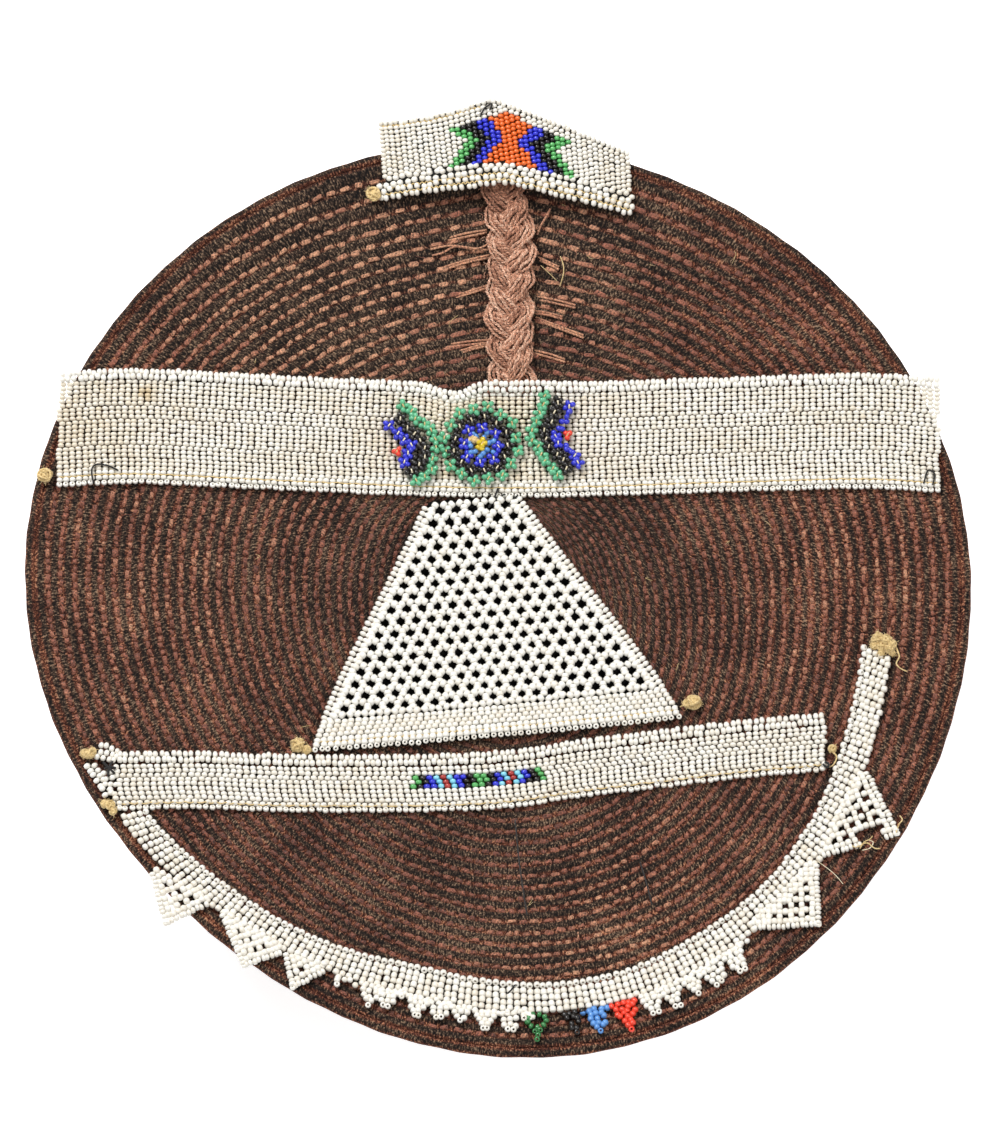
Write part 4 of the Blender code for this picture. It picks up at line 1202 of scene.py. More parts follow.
@dataclass
class SideCloth(SubAssembly):
    """The flared side: quilted outside in level rows, plain inside."""

    columns: int = 132
    row_pitch: float = 5.9 * MM
    per_row: int = 4
    puff: float = 1.5 * MM
    proud: float = 0.2 * MM
    inner_rings: int = 18

    def outer_line(self) -> tuple[Array, Array]:
        """The outer profile, top to bottom.

        Returns:
            Radii and heights, and the row number of each.
        """
        heights = np.linspace(HAT.side_top(), 0, 400)
        radii = HAT.side_radius(heights)
        travelled = lengths_along(np.column_stack([radii, heights]))
        rows = int(travelled[-1] / self.row_pitch)
        row = np.linspace(0, rows, rows * self.per_row + 1)
        at = row / rows * travelled[-1]
        return np.column_stack([np.interp(at, travelled, radii), np.interp(at, travelled, heights)]), row

    def build(self) -> None:
        """Builds the side."""
        line, row = self.outer_line()
        slope = unit(np.gradient(line, axis=0))
        outward = np.column_stack([-slope[:, 1], slope[:, 0]])
        depth = self.proud - self.puff * (1 - fullness(row))
        depth[line[:, 1] < 1 * MM] = 0
        outer = line + outward * depth[:, None]
        outer[:, 1] = np.maximum(outer[:, 1], 0)
        pick = np.linspace(0, len(line) - 1, self.inner_rings).astype(int)[::-1]
        inner = line[pick] - outward[pick] * HAT.wall
        inner[:, 1] = np.clip(inner[:, 1], 0, None)
        inner[0] = (HAT.opening_radius, 0)
        seat = inner[-1, 0] - line[0, 0]
        inner[-1] = (line[0, 0] + seat, line[0, 1] + seat * math.tan(HAT.rise(HAT.rim_radius)))
        profile = np.concatenate([outer, inner])
        turns = ring_turns(self.columns)
        wobble = np.sin(11 * turns)[:, None] * np.sin(profile[None, :, 1] * 180) * 0.15 * MM
        radius = profile[None, :, 0] + wobble
        radius = radius * (1 + HAT.side_spread(profile[:, 1])[None] * HAT.wave(turns)[:, None])
        points = ring_points(turns, radius, np.broadcast_to(profile[:, 1], radius.shape))
        i, j, quads = grid_faces(self.columns, len(profile), True)
        run = lengths_along(profile)
        run = np.append(run, run[-1] + 5 * MM)
        girth = TURN * profile[j, 0] / self.columns
        batch = MeshBatch()
        batch.add(points, [quads], 0.45, 0, [corner_uvs(i * girth, (i + 1) * girth, run[j], run[j + 1])])
        self.shop.place(batch.build("flared_side_cloth", [self.shop.cloth]), "quilted_cloth", "flared_side")
        self.stitch(line, row, outward)

    def stitch(self, line: Array, row: Array, outward: Array) -> None:
        """Adds the side's stitches.

        Args:
            line: The outer profile.
            row: Row number at each point of it.
            outward: Direction out of the cloth at each point.
        """
        diamond = ((1, 0), (0, 0.8), (-1, 0), (0, -0.7))
        work = Stitches(37, diamond, (-0.5, 0, 0.5), (0.4, 1, 0.4), (-0.42, 0.16, -0.42))
        for number in range(1, int(row[-1])):
            at = int(np.argmin(np.abs(row - number)))
            radius, height = line[at]
            spread = float(HAT.side_spread(np.array(height)))
            count = max(int(TURN * radius / (6.3 * MM)), 8)
            turns = TURN * (np.arange(count) + work.draw.uniform()) / count
            turns += work.draw.normal(0, 0.06 * TURN / count, count)
            stretched = radius * (1 + spread * HAT.wave(turns))
            across = facing(turns)
            out = np.column_stack([across * outward[at, 0], np.full(count, outward[at, 1])])
            base = np.column_stack([across * stretched[:, None], np.full(count, height)]) - out * 0.8 * MM
            along = np.column_stack([-across[:, 1], across[:, 0], np.zeros(count)])
            lengths = work.draw.uniform(4.6, 6.3, count) * MM
            widths = work.draw.uniform(2.1, 2.6, count) * MM
            tones = np.clip(0.5 + work.draw.normal(0, 0.14, count), 0, 1)
            work.dashes(base, along, out, lengths, widths, tones)
        log.info("side stitches: %d", work.count)
        self.shop.place(work.batch.build("side_stitches", [self.shop.yarn]), "quilted_cloth")


@dataclass
class RimRoll(SubAssembly):
    """The thin roll of cloth that binds the rim, whipped round with yarn."""

    columns: int = 300
    sides: int = 10

    def build(self) -> None:
        """Builds the roll."""
        edge, slope = HAT.edge_radius(), HAT.rise(HAT.edge_radius())
        reach = HAT.lay_gap + HAT.roll_radius
        middle = edge + 0.5 * HAT.wall * math.sin(slope) + reach * math.cos(slope)
        height = HAT.edge_height() - 0.5 * HAT.wall * math.cos(slope) + reach * math.sin(slope)
        turns = ring_turns(self.columns)
        girth = HAT.roll_radius * (1.02 + 0.07 * np.sin(75 * turns) + 0.05 * np.sin(31 * turns + 1))
        radius = middle * (1 + HAT.wave(turns))
        around = ring_turns(self.sides)
        across = radius[:, None] + girth[:, None] * np.cos(around)[None]
        points = ring_points(turns, across, height + girth[:, None] * np.sin(around))
        i, j, quads = grid_faces(self.columns, self.sides, True)
        step, round_step = TURN * middle / self.columns, TURN * HAT.roll_radius / self.sides
        uvs = corner_uvs(i * step, (i + 1) * step, j * round_step, (j + 1) * round_step)
        outward = [0, 3, 2, 1]
        batch = MeshBatch()
        batch.add(points, [quads[:, outward]], 0.8, 0, [uvs[:, outward]])
        self.shop.place(batch.build("rim_binding", [self.shop.cloth]), "quilted_cloth", "rim_roll")


@dataclass
class SeamBraid(SubAssembly):
    """The plaited cord on the back seam: three flat hanks of two-ply yarn, each hank several yarns wide."""

    start: tuple[float, float] = (4.72 * MM, 94.5 * MM)
    end: tuple[float, float] = (1.29 * MM, 200.56 * MM)
    period: float = 34.5 * MM
    sway: float = 6.5 * MM
    lift: float = 1.8 * MM
    hank_yarns: int = 7
    hank_width: float = 10.3 * MM
    ply_radius: float = 0.50 * MM
    ply_turn: float = 3.1 * MM
    thickness: float = 8.0 * MM
    stations: int = 220
    fibre_count: int = 220
    seed: int = 5

    def line(self, share: Array) -> tuple[Array, Array]:
        """Plan places on the straight line from the cord's start to its end."""
        x, y = (low + (high - low) * share for low, high in zip(self.start, self.end))
        return x, y

    def build(self) -> None:
        """Builds the cord."""
        draw = np.random.default_rng(self.seed)
        batch = MeshBatch()
        length = math.dist(self.start, self.end)
        stations = np.linspace(0, length, self.stations)
        for hank in range(3):
            phase = TURN * (stations / self.period + hank / 3) + 0.35 * np.sin(stations / (19 * MM) + hank)
            uneven = 1 + 0.18 * np.sin(
                stations / (11 * MM) + 2 * hank
            ) + 0.13 * np.sin(stations / (5.3 * MM) + hank)
            middle = self.sway * uneven * np.sin(phase)
            height = self.lift * np.sin(2 * phase)
            heading = np.gradient(middle, stations)
            lean = 1 / np.hypot(1, heading)
            for yarn in range(self.hank_yarns):
                offset = (yarn / (self.hank_yarns - 1) - 0.5) * (self.hank_width - 4 * self.ply_radius)
                crown = 1 - (2 * offset / self.hank_width) ** 2
                aside = offset + 0.34 * MM * np.sin(phase * 2.3 + any_turn(draw))
                kink = draw.uniform(0.65, 0.95) * MM
                aside += 0.26 * MM * np.sin(stations / kink + any_turn(draw))
                along = np.clip(stations - aside * heading * lean, 0, length) / length
                x, y = self.line(along)
                x = x + middle + aside * lean + 1.2 * MM * np.sin(np.pi * along)
                tucked = np.clip((y - self.start[1]) / (16 * MM), 0, 1)
                scale = 0.3 + 0.7 * tucked
                bob = 0.45 * MM * np.sin(stations / (2.7 * MM) + any_turn(draw))
                bob += 0.28 * MM * np.sin(stations / kink + any_turn(draw))
                rise = (0.5 * self.thickness - 0.9 * MM + height + 1.7 * MM * crown + bob) * scale
                z = HAT.bed(x, y) + np.maximum(rise, 1.8 * self.ply_radius * scale)
                radius = self.ply_radius * draw.uniform(0.85, 1.15) * (0.55 + 0.45 * tucked)
                browner = 0.55 * np.clip((y - 172 * MM) / (16 * MM), 0, 1)
                tone = draw.uniform(0, 0.8) * (1 - 0.5 * browner) + browner
                self.two_ply(batch, np.column_stack([x, y, z]), radius, tone, any_turn(draw))
        self.fibres(batch, draw, length)
        self.shop.place(batch.build("plaited_seam_cord", [self.shop.cord_yarn]), "braid_yarn", "seam_braid")

    def two_ply(self, batch: MeshBatch, spine: Array, radius: Array, tone: Array, start: float) -> None:
        """Adds one yarn as two plies that turn round its middle line.

        Args:
            batch: The cord's mesh.
            spine: The yarn's middle line.
            radius: Radius of a ply at each point.
            tone: Shade at each point.
            start: Turn of the first ply at the start.
        """
        travelled = lengths_along(spine)
        along = unit(np.gradient(spine, axis=0))
        side = unit(np.cross(along, [0, 0, 1]))
        out = np.cross(side, along)
        for turn, paler in ((start, 0.16), (start + math.pi, -0.16)):
            angle = (TURN * travelled / self.ply_turn + turn)[:, None]
            path = spine + (side * np.cos(angle) + out * np.sin(angle)) * (0.86 * radius)[:, None]
            add_tube(batch, path, radius, 4, np.repeat(np.clip(tone - paler, 0, 1), 4))

    def fibres(self, batch: MeshBatch, draw: np.random.Generator, length: float) -> None:
        """Adds short fibres that stand off the cord's sides and top.

        Args:
            batch: The cord's mesh.
            draw: The seeded draw.
            length: The cord's length.
        """
        for _ in range(self.fibre_count):
            share = draw.uniform(0.12, 1)
            side = draw.choice([-1, 1]) * draw.uniform(0.35, 1.02)
            x, y = self.line(share)[0] + side * 10.6 * MM, self.start[1] + length * share
            reach = draw.normal(0, 1.3, 2) * MM + np.array([math.copysign(0.9, side), 0]) * MM
            z = float(HAT.bed(np.array(x), np.array(y))) + (6.6 - 4.2 * side**2) * MM
            points = (
                (x, y, z), (x + 0.6 * reach[0], y + 0.6 * reach[1], z + 0.7 * MM),
                (x + reach[0], y + reach[1], z + 0.3 * MM)
            )
            add_tube(batch, through(points, np.linspace(0, 1, 4)), 0.15 * MM, 3, draw.uniform(0, 0.7))


@dataclass
class WideBand(BeadStrip):
    """The wide band: columns of beads sewn three at a time, a rolled back edge and a picot front edge.

    Its back edge dips at notch_at, a share of the rim's radius, and rust is a spot's plan place and spread.
    """

    line: Points = (
        (-0.948, 0.334), (-0.760, 0.356), (-0.420, 0.358), (0.000, 0.352), (0.420, 0.354), (0.760, 0.344),
        (0.938, 0.320)
    )
    width: float = 54.0 * MM
    bead_pitch: float = 3.03 * MM
    groups: int = 7
    group_width: float = 6.12 * MM
    notch_at: float = -0.098
    notch_depth: float = 4.6 * MM
    rust: tuple[float, float, float] = (-164 * MM, 92 * MM, 3.4 * MM)
    seed: int = 101

    def over_braid(self, x: Array, y: Array) -> Array:
        """How far the band is lifted where the cord's end lies under it.

        Args:
            x: Plan places to the right of the middle of the rim.
            y: Plan places behind it.

        Returns:
            The lifts.
        """
        start_x = 0.022 * HAT.rim_radius
        start_y = self.line[3][1] * HAT.rim_radius + 0.5 * self.width - 8 * MM
        thick = 2.5 * MM + 5.5 * MM * np.clip((y - start_y) / (16 * MM), 0, 1)
        across = smooth_fall(x - start_x, 10 * MM + 2 * HAT.lay_gap, 34 * MM)
        along = smooth_fall(np.minimum(y - start_y + HAT.lay_gap, 0), 0, 26 * MM)
        return (thick + 2 * HAT.lay_gap) * across * along

    def bed(self, x: Array, y: Array) -> Array:
        """Height of the band's underside."""
        return HAT.bed(x, y) + self.over_braid(x, y)

    def place(self, share: Array, across: Array) -> Array:
        """Plan places on the band, whose back edge dips at the notch.

        Args:
            share: Shares of the way along the band.
            across: Distances back from its middle line.

        Returns:
            Rows of x and y.
        """
        middle = through(self.line, share) * HAT.rim_radius
        notch = middle[:, 0] - self.notch_at * HAT.rim_radius
        dip = self.notch_depth * smooth_fall(notch, 0, 17 * MM) * np.where(
            notch < 0, 1, smooth_fall(notch, 0, 22 * MM)
        )
        y = middle[:, 1] + across - dip * np.clip(2 * across / self.width, 0, None)
        return np.column_stack([middle[:, 0], y])

    def stain(self, plan: Array, across: float) -> Array:
        """Shade of the white beads: beige between the flowers, cream at the left end, clean at the edges.

        Args:
            plan: Plan places of a row's beads.
            across: The row's distance back from the middle line.

        Returns:
            Their tones.
        """
        x = plan[:, 0]
        middle = np.exp(-(((x + 12 * MM) / (48 * MM)) ** 2)) * (abs(across) < 20 * MM)
        left = np.clip((-x - 135 * MM) / (60 * MM), 0, 1)
        ripple = 0.5 + 0.5 * np.sin(x * 61 + 1.3) * np.sin(x * 23 + across * 190)
        return 0.10 + 0.34 * middle + 0.24 * left + 0.14 * ripple

    def build(self) -> None:
        """Builds the band: the left and right halves of its woven field, then its edges."""
        halves = [BeadField(self.bed, self.seed + side) for side in (0, 1)]
        back = 0.5 * self.width - 5.3 * MM
        rust_x, rust_y, spread = self.rust
        for group in range(self.groups):
            shift = halves[0].draw.uniform(-0.3, 0.3)
            for drop in range(3):
                across = back - group * self.group_width - (drop + 0.5) * 2 * MM
                plan = self.row(self.bead_pitch, across, shift)
                tone = self.stain(plan, across)
                rust = np.exp(-((plan[:, 0] - rust_x) ** 2 + (plan[:, 1] - rust_y) ** 2) / spread**2)
                tone = tone + 0.7 * rust
                for bead_field, mine in zip(halves, (plan[:, 0] < 0, plan[:, 0] >= 0)):
                    bead_field.lay(plan[mine], (0, 1), tone=tone[mine], length=1.98 * MM)
        self.shop.place_beads(halves[0], "wide_band_left_beads", "white_beads", "wide_band")
        self.shop.place_beads(halves[1], "wide_band_right_beads", "white_beads")
        self.build_edges()

    def build_edges(self) -> None:
        """Builds the rolled back edge, the picot front edge and the thread between its rows."""
        work = BeadField(self.bed, self.seed + 7)
        back = 0.5 * self.width
        for across, pitch, lift, long in ((back - 1.5 * MM, 2.45, 0.2, 2.3), (back - 4 * MM, 2.75, 0.9, 2.4)):
            plan = self.row(pitch * MM, across, work.draw.uniform(-0.4, 0.4))
            heading = unit(np.gradient(plan, axis=0))
            work.lay(
                plan, heading, diameter=3.15 * MM, length=long * MM, lift=lift * MM, tone=0.03,
                jitter=0.22 * MM
            )
        front = -0.5 * self.width
        for across, lift in ((front + 5.2 * MM, 0.15), (front + 3 * MM, 0.1)):
            work.lay(self.row(3 * MM, across), (0, 1), length=2.1 * MM, lift=lift * MM, tone=0.08)
        plan = self.place(self.spaced(2.95 * MM, front + 1 * MM), front + 0.9 * MM)
        work.lay(plan, (0, 1), OPEN_BEAD, 2.7 * MM, 2.1 * MM, 0.1 * MM, 0.04, upright=0.75, jitter=0.15 * MM)
        shares = np.linspace(0.01, 0.99, 260)
        wave = 0.25 * MM * np.sin(np.arange(260) * 1.57)
        plan = self.place(shares, front + 4.1 * MM + wave)
        work.thread(plan, 2.4 * MM, 0.3 * MM, Colour.THREAD, 1)
        self.black_ends(work)
        self.shop.place_beads(work, "wide_band_edge_beads", "white_beads")

    def black_ends(self, work: BeadField) -> None:
        """Adds the ends of black thread left at both ends and in the middle.

        Args:
            work: The band's edge beads.
        """
        routes = (
            ((-187, 47), (-188, 53), (-186, 56), (-181, 56), (-176, 54)),
            ((-3, 24), (0, 30), (2, 36), (4, 44), (8, 49)), ((194, 46), (196, 52), (199, 50), (198, 45)),
            ((-1.2, 52.3), (-2.1, 49.5), (-3.5, 46.5), (-5.4, 43)),
            ((2, 49.5), (-1.2, 47.4), (-3.1, 44.9), (-2.4, 43)), ((-4.5, 49.4), (-4.5, 47.9), (-1.6, 45.2))
        )
        for points in routes:
            plan = route(points, 14)
            work.thread(plan, 3.5 * MM, 0.42 * MM, Colour.BLACK_THREAD)


@dataclass
class BeadFlower(SubAssembly):
    """A lace flower of small rosettes, each a ring of beads round a stitch of pale thread; whole or half."""

    name: str
    node: str
    rosettes: tuple[tuple[Colour, float, int, Points], ...]
    band: WideBand
    seed: int

    def bed(self, x: Array, y: Array) -> Array:
        """Height of the flower's underside, on top of the band's beads."""
        return self.band.bed(x, y) + 3.6 * MM

    def build(self) -> None:
        """Builds the flower."""
        work = BeadField(self.bed, self.seed, 3 * MM, 2.2 * MM)
        for colour, reach, count, places in self.rosettes:
            for x, y in places:
                self.rosette(work, colour, reach * MM, count, (x * MM, y * MM))
        self.shop.place_beads(work, self.name, "flower_beads", self.node)

    def rosette(
        self, work: BeadField, colour: Colour, reach: float, count: int, middle: tuple[float, float]
    ) -> None:
        """Adds one ring of beads with its stitch.

        Args:
            work: The flower's beads.
            colour: Their colour.
            reach: Distance of the beads from its middle.
            count: How many beads.
            middle: Its plan place.
        """
        turns = TURN * (np.arange(count) + work.draw.uniform()) / count
        away = facing(turns)
        around = np.column_stack([-np.sin(turns), np.cos(turns)])
        lift = work.draw.uniform(0, 0.9) * MM
        plan = np.array(middle) + away * reach
        shape = OPEN_BEAD if count == 1 else ROUND_BEAD
        upright = 0.8 if count == 1 else 0.25
        work.lay(plan, around, shape, lift=lift, colour=colour, upright=upright, jitter=0.22 * MM, tone=0.3)
        if count > 2:
            lean = work.draw.uniform(0.9, 2.2)
            ends = np.array([[-math.cos(lean), -math.sin(lean)], [0, 0], [math.cos(lean), math.sin(lean)]])
            pale = colour in (Colour.BLACK, Colour.COBALT)
            strand = Colour.PALE_THREAD if pale else Colour.THREAD
            work.thread(np.array(middle) + ends * 0.95 * MM, lift + 2.4 * MM, 0.36 * MM, strand, 0)


def ring_places(
    middle: tuple[float, float], radius: float, count: int, turn: float, ripple: float = 0
) -> Points:
    """Places in millimetres round a ring, with every other one moved outwards by a ripple."""
    turns = [math.radians(turn + 360 * number / count) for number in range(count)]
    reach = [radius + (ripple if number % 2 else -ripple) for number in range(count)]
    return tuple((middle[0] + r * math.cos(t), middle[1] + r * math.sin(t)) for t, r in zip(turns, reach))


WHOLE_FLOWER = (
    (Colour.SEA_GREEN, 1.75, 4, ring_places((-9, 72.1), 16.9, 16, 12, 0.5)),
    (Colour.BLACK, 1.95, 5, ring_places((-9, 72.1), 12.7, 13, 0, 0.4)),
    (Colour.COBALT, 1.75, 4, ring_places((-9, 72.1), 8.4, 8, -4, 0.4)),
    (Colour.SKY_BLUE, 1.1, 2, ring_places((-9, 72.1), 5.1, 7, 18)), (Colour.YELLOW, 1.3, 4, ((-8.4, 73),)),
    (Colour.YELLOW, 0.9, 2, ((-9.3, 70.6),)), (Colour.THREAD, 1, 3, ((-13.3, 75.4), (-11.9, 74.4)))
)
LEFT_FLOWER = (
    (
        Colour.SEA_GREEN, 1.7, 4,
        (
            (-45.2, 90), (-41.4, 87.6), (-39.7, 84.1), (-35.2, 81.5), (-32.2, 78.8), (-30.3, 74.6),
            (-29.9, 70.6), (-31.6, 65.2), (-31.9, 60), (-35.2, 56.8), (-39.1, 54.9)
        )
    ),
    (
        Colour.BLACK, 1.9, 5,
        (
            (-46.6, 83.8), (-43.3, 79.6), (-40, 76.9), (-37.4, 73.9), (-35.2, 70.3), (-35.2, 66),
            (-37.8, 62.4), (-41.2, 59.2)
        )
    ), (Colour.BLACK, 1, 2, ((-38.6, 70.4), (-40, 65), (-43.6, 75.6))),
    (
        Colour.COBALT, 1.75, 4,
        ((-51.8, 80.6), (-47.6, 77), (-44.9, 73.9), (-41.4, 71.6), (-43, 67.7), (-44.7, 63.4))
    ), (Colour.SCARLET, 1.2, 3, ((-48.2, 68.4),))
)
RIGHT_FLOWER = (
    (
        Colour.SEA_GREEN, 1.7, 4,
        (
            (20.4, 94.4), (19.7, 90.2), (18.2, 86.5), (16.6, 82.8), (14.6, 78.9), (14.6, 74.3), (17.5, 71.3),
            (18.9, 67.3), (20.5, 64.2), (24.3, 60.7), (26.3, 57.4)
        )
    ),
    (
        Colour.BLACK, 1.9, 5,
        (
            (26.3, 90.9), (24.7, 86.8), (23.6, 82.6), (20.2, 79), (21.1, 74.9), (22.4, 71.3), (26.3, 67.3),
            (29.2, 64.7), (30.5, 60.6)
        )
    ), (Colour.BLACK, 1, 2, ((21.9, 80.9), (24.4, 70))),
    (Colour.COBALT, 1.7, 4, ((31.5, 89.4), (25.4, 76.2), (26.7, 72.9), (34.5, 66.6), (35.8, 63.4))),
    (Colour.COBALT, 0.9, 2, ((30.9, 86), (29.2, 82.6), (27.6, 79.4), (30.3, 70.6), (32.2, 68.6))),
    (Colour.SCARLET, 1.2, 3, ((31, 76.5),))
)


@dataclass
class NettedPanel(SubAssembly):
    """The net: staggered rows of openings between pairs of stacked beads, over a close hem.

    The top's middle_x and the left end's base_y are shares of the rim's radius.
    """

    band: WideBand
    top_width: float = 46.0 * MM
    base_width: float = 172.0 * MM
    middle_x: float = -0.062
    base_y: float = -0.359
    turn: float = math.radians(6.0)
    hem: float = 14.5 * MM
    rows: int = 17
    first_holes: int = 5
    lift: float = 1.6 * MM
    seed: int = 61

    def frame(self) -> tuple[Array, Array, Array, float]:
        """Where the net hangs from and how it lies.

        Returns:
            The top's middle, unit vectors across and down, and the length.
        """
        across = np.array([math.cos(self.turn), math.sin(self.turn)])
        down = np.array([math.sin(self.turn), -math.cos(self.turn)])
        top_y = self.band.line[3][1] * HAT.rim_radius - 0.5 * self.band.width - 0.5 * MM
        top = np.array([self.middle_x * HAT.rim_radius, top_y - 0.5 * self.top_width * math.sin(self.turn)])
        drop = top[1] - 0.5 * self.base_width * math.sin(self.turn) - self.base_y * HAT.rim_radius
        return top, across, down, (drop - 1 * MM) / math.cos(self.turn)

    def plan(self, u: Array, v: Array) -> Array:
        """Plan places on the net, whose sides swell a little.

        Args:
            u: Distances across from the top's middle.
            v: Distances down from it.

        Returns:
            Rows of x and y.
        """
        top, across, down, length = self.frame()
        v = np.broadcast_to(np.asarray(v, float), np.shape(u))
        share = np.clip(v / length, 0, 1)
        out = u / (0.5 * (self.top_width + (self.base_width - self.top_width) * share))
        swell = np.sin(np.pi * share**1.7) * out**2
        u = u + np.where(out < 0, -2.7 * MM, 2 * MM) * swell
        v = v + 1.5 * MM * np.clip(out, 0, 1) * share**6
        return top + np.multiply.outer(u, across) + np.multiply.outer(v, down)

    def bed(self, x: Array, y: Array) -> Array:
        """Height of the net's underside: it stands a little off the dish."""
        share = np.minimum(np.hypot(x, y) / HAT.rim_radius, 1)
        return HAT.bed(x, y) + self.lift * (1 - share**2)

    def build(self) -> None:
        """Builds the net."""
        _, across, down, length = self.frame()
        work = BeadField(self.bed, self.seed)
        pitch_v = (length - self.hem) / (self.rows + 0.35)
        widening = (self.base_width - self.top_width) / length
        edge = 5.6 * MM
        slant = [unit(down + side * across) for side in (-1, 1)]
        for row in range(self.rows + 1):
            v = pitch_v * (row + 0.55)
            holes = self.first_holes + row
            room = self.top_width + widening * v - 2 * edge
            pitch_u = room / holes
            u = (np.arange(holes + 1) - 0.5 * holes) * pitch_u
            if row < self.rows:
                for side in (-1.02 * MM, 1.02 * MM):
                    plan = self.plan(u, v + side)
                    work.lay(plan, down, BARREL_BEAD, 3.65 * MM, 2.3 * MM, tone=0, jitter=0.16 * MM)
            above = v - 0.5 * pitch_v
            for side in (-1, 1):
                beside = u + side * 0.25 * pitch_u
                plan = self.plan(beside[np.abs(beside) < 0.5 * room + 0.1 * MM], above)
                way = slant[0 if side > 0 else 1]
                work.lay(plan, way, BARREL_BEAD, 3.6 * MM, 2.6 * MM, 0.25 * MM, 0, jitter=0.16 * MM)
        self.edges(work, length, widening)
        self.hem_rows(work, length, widening)
        self.shop.place_beads(work, "netted_panel_beads", "white_beads", "netted_panel")

    def inside(self, x: Array, y: Array) -> tuple[Array, Array, Array]:
        """How far plan places lie inside the net's sides, its top and its base.

        Args:
            x: Plan places to the right of the middle of the rim.
            y: Plan places behind it.

        Returns:
            The distances from the sides, from the top and from the base.
        """
        top, across, down, length = self.frame()
        u = (x - top[0]) * across[0] + (y - top[1]) * across[1]
        v = (x - top[0]) * down[0] + (y - top[1]) * down[1]
        half = 0.5 * (self.top_width + (self.base_width - self.top_width) * v / length)
        return half - np.abs(u), v, length - v

    def shade(self, x: Array, y: Array) -> Array:
        """How deep under the net plan places lie, from 0 outside it to 1."""
        side, top, base = self.inside(x, y)
        return np.clip(np.minimum(np.minimum(side, top + 4 * MM), base) / (4 * MM), 0, 1)

    def edges(self, work: BeadField, length: float, widening: float) -> None:
        """Adds the two-bead edge strips.

        Args:
            work: The net's beads.
            length: Its length down.
            widening: How much wider it gets for its length down.
        """
        for side in (-1, 1):
            for inward in (1.5 * MM, 4.3 * MM):
                v = np.arange(1 * MM, length - self.hem + 1 * MM, 2.3 * MM)
                v = v + (0 if inward < 2 * MM else 1.1 * MM)
                half = 0.5 * (self.top_width + widening * v)
                plan = self.plan(side * (half - inward), v)
                heading = unit(np.gradient(plan, axis=0))
                work.lay(plan, heading, diameter=3.1 * MM, length=2.15 * MM, tone=0.04, lift=0.1 * MM)

    def level_row(self, half: float, pitch: float) -> Array:
        """Places of a level row's beads to both sides of its middle."""
        count = int(2 * half / pitch)
        return (np.arange(count) - 0.5 * (count - 1)) * 2 * half / count

    def hem_rows(self, work: BeadField, length: float, widening: float) -> None:
        """Adds the close hem and its tan thread.

        Args:
            work: The net's beads.
            length: Its length down.
            widening: How much wider it gets for its length down.
        """
        _, _, down, _ = self.frame()
        start = length - self.hem
        for row, (drop, tone) in enumerate(
            ((1, 0.06), (3, 0.14), (5, 0.15), (7, 0.12), (9.4, 0.02), (11.6, 0.02))
        ):
            v = start + drop * MM
            half = 0.5 * (self.top_width + widening * min(v, length - 4 * MM)) - 0.5 * MM
            u = self.level_row(half, 3.05 * MM)
            long, lift = (2.1 * MM, 0) if row < 4 else (2.35 * MM, 0.2 * MM)
            work.lay(self.plan(u, v), down, BARREL_BEAD, 3.12 * MM, long, lift, tone)
        half = 0.5 * self.base_width - 1.5 * MM
        u = self.level_row(half, 3.1 * MM)
        plan = self.plan(u, length - 1.1 * MM)
        work.lay(plan, down, OPEN_BEAD, 2.7 * MM, 2.1 * MM, 0, 0.08, upright=0.7, jitter=0.2 * MM)
        u = np.linspace(-0.97, 0.97, 160) * half
        zigzag = length - 3.9 * MM + 0.5 * MM * np.sin(np.arange(160) * 1.9)
        work.thread(self.plan(u, zigzag), 2.4 * MM, 0.3 * MM, Colour.THREAD, 1)


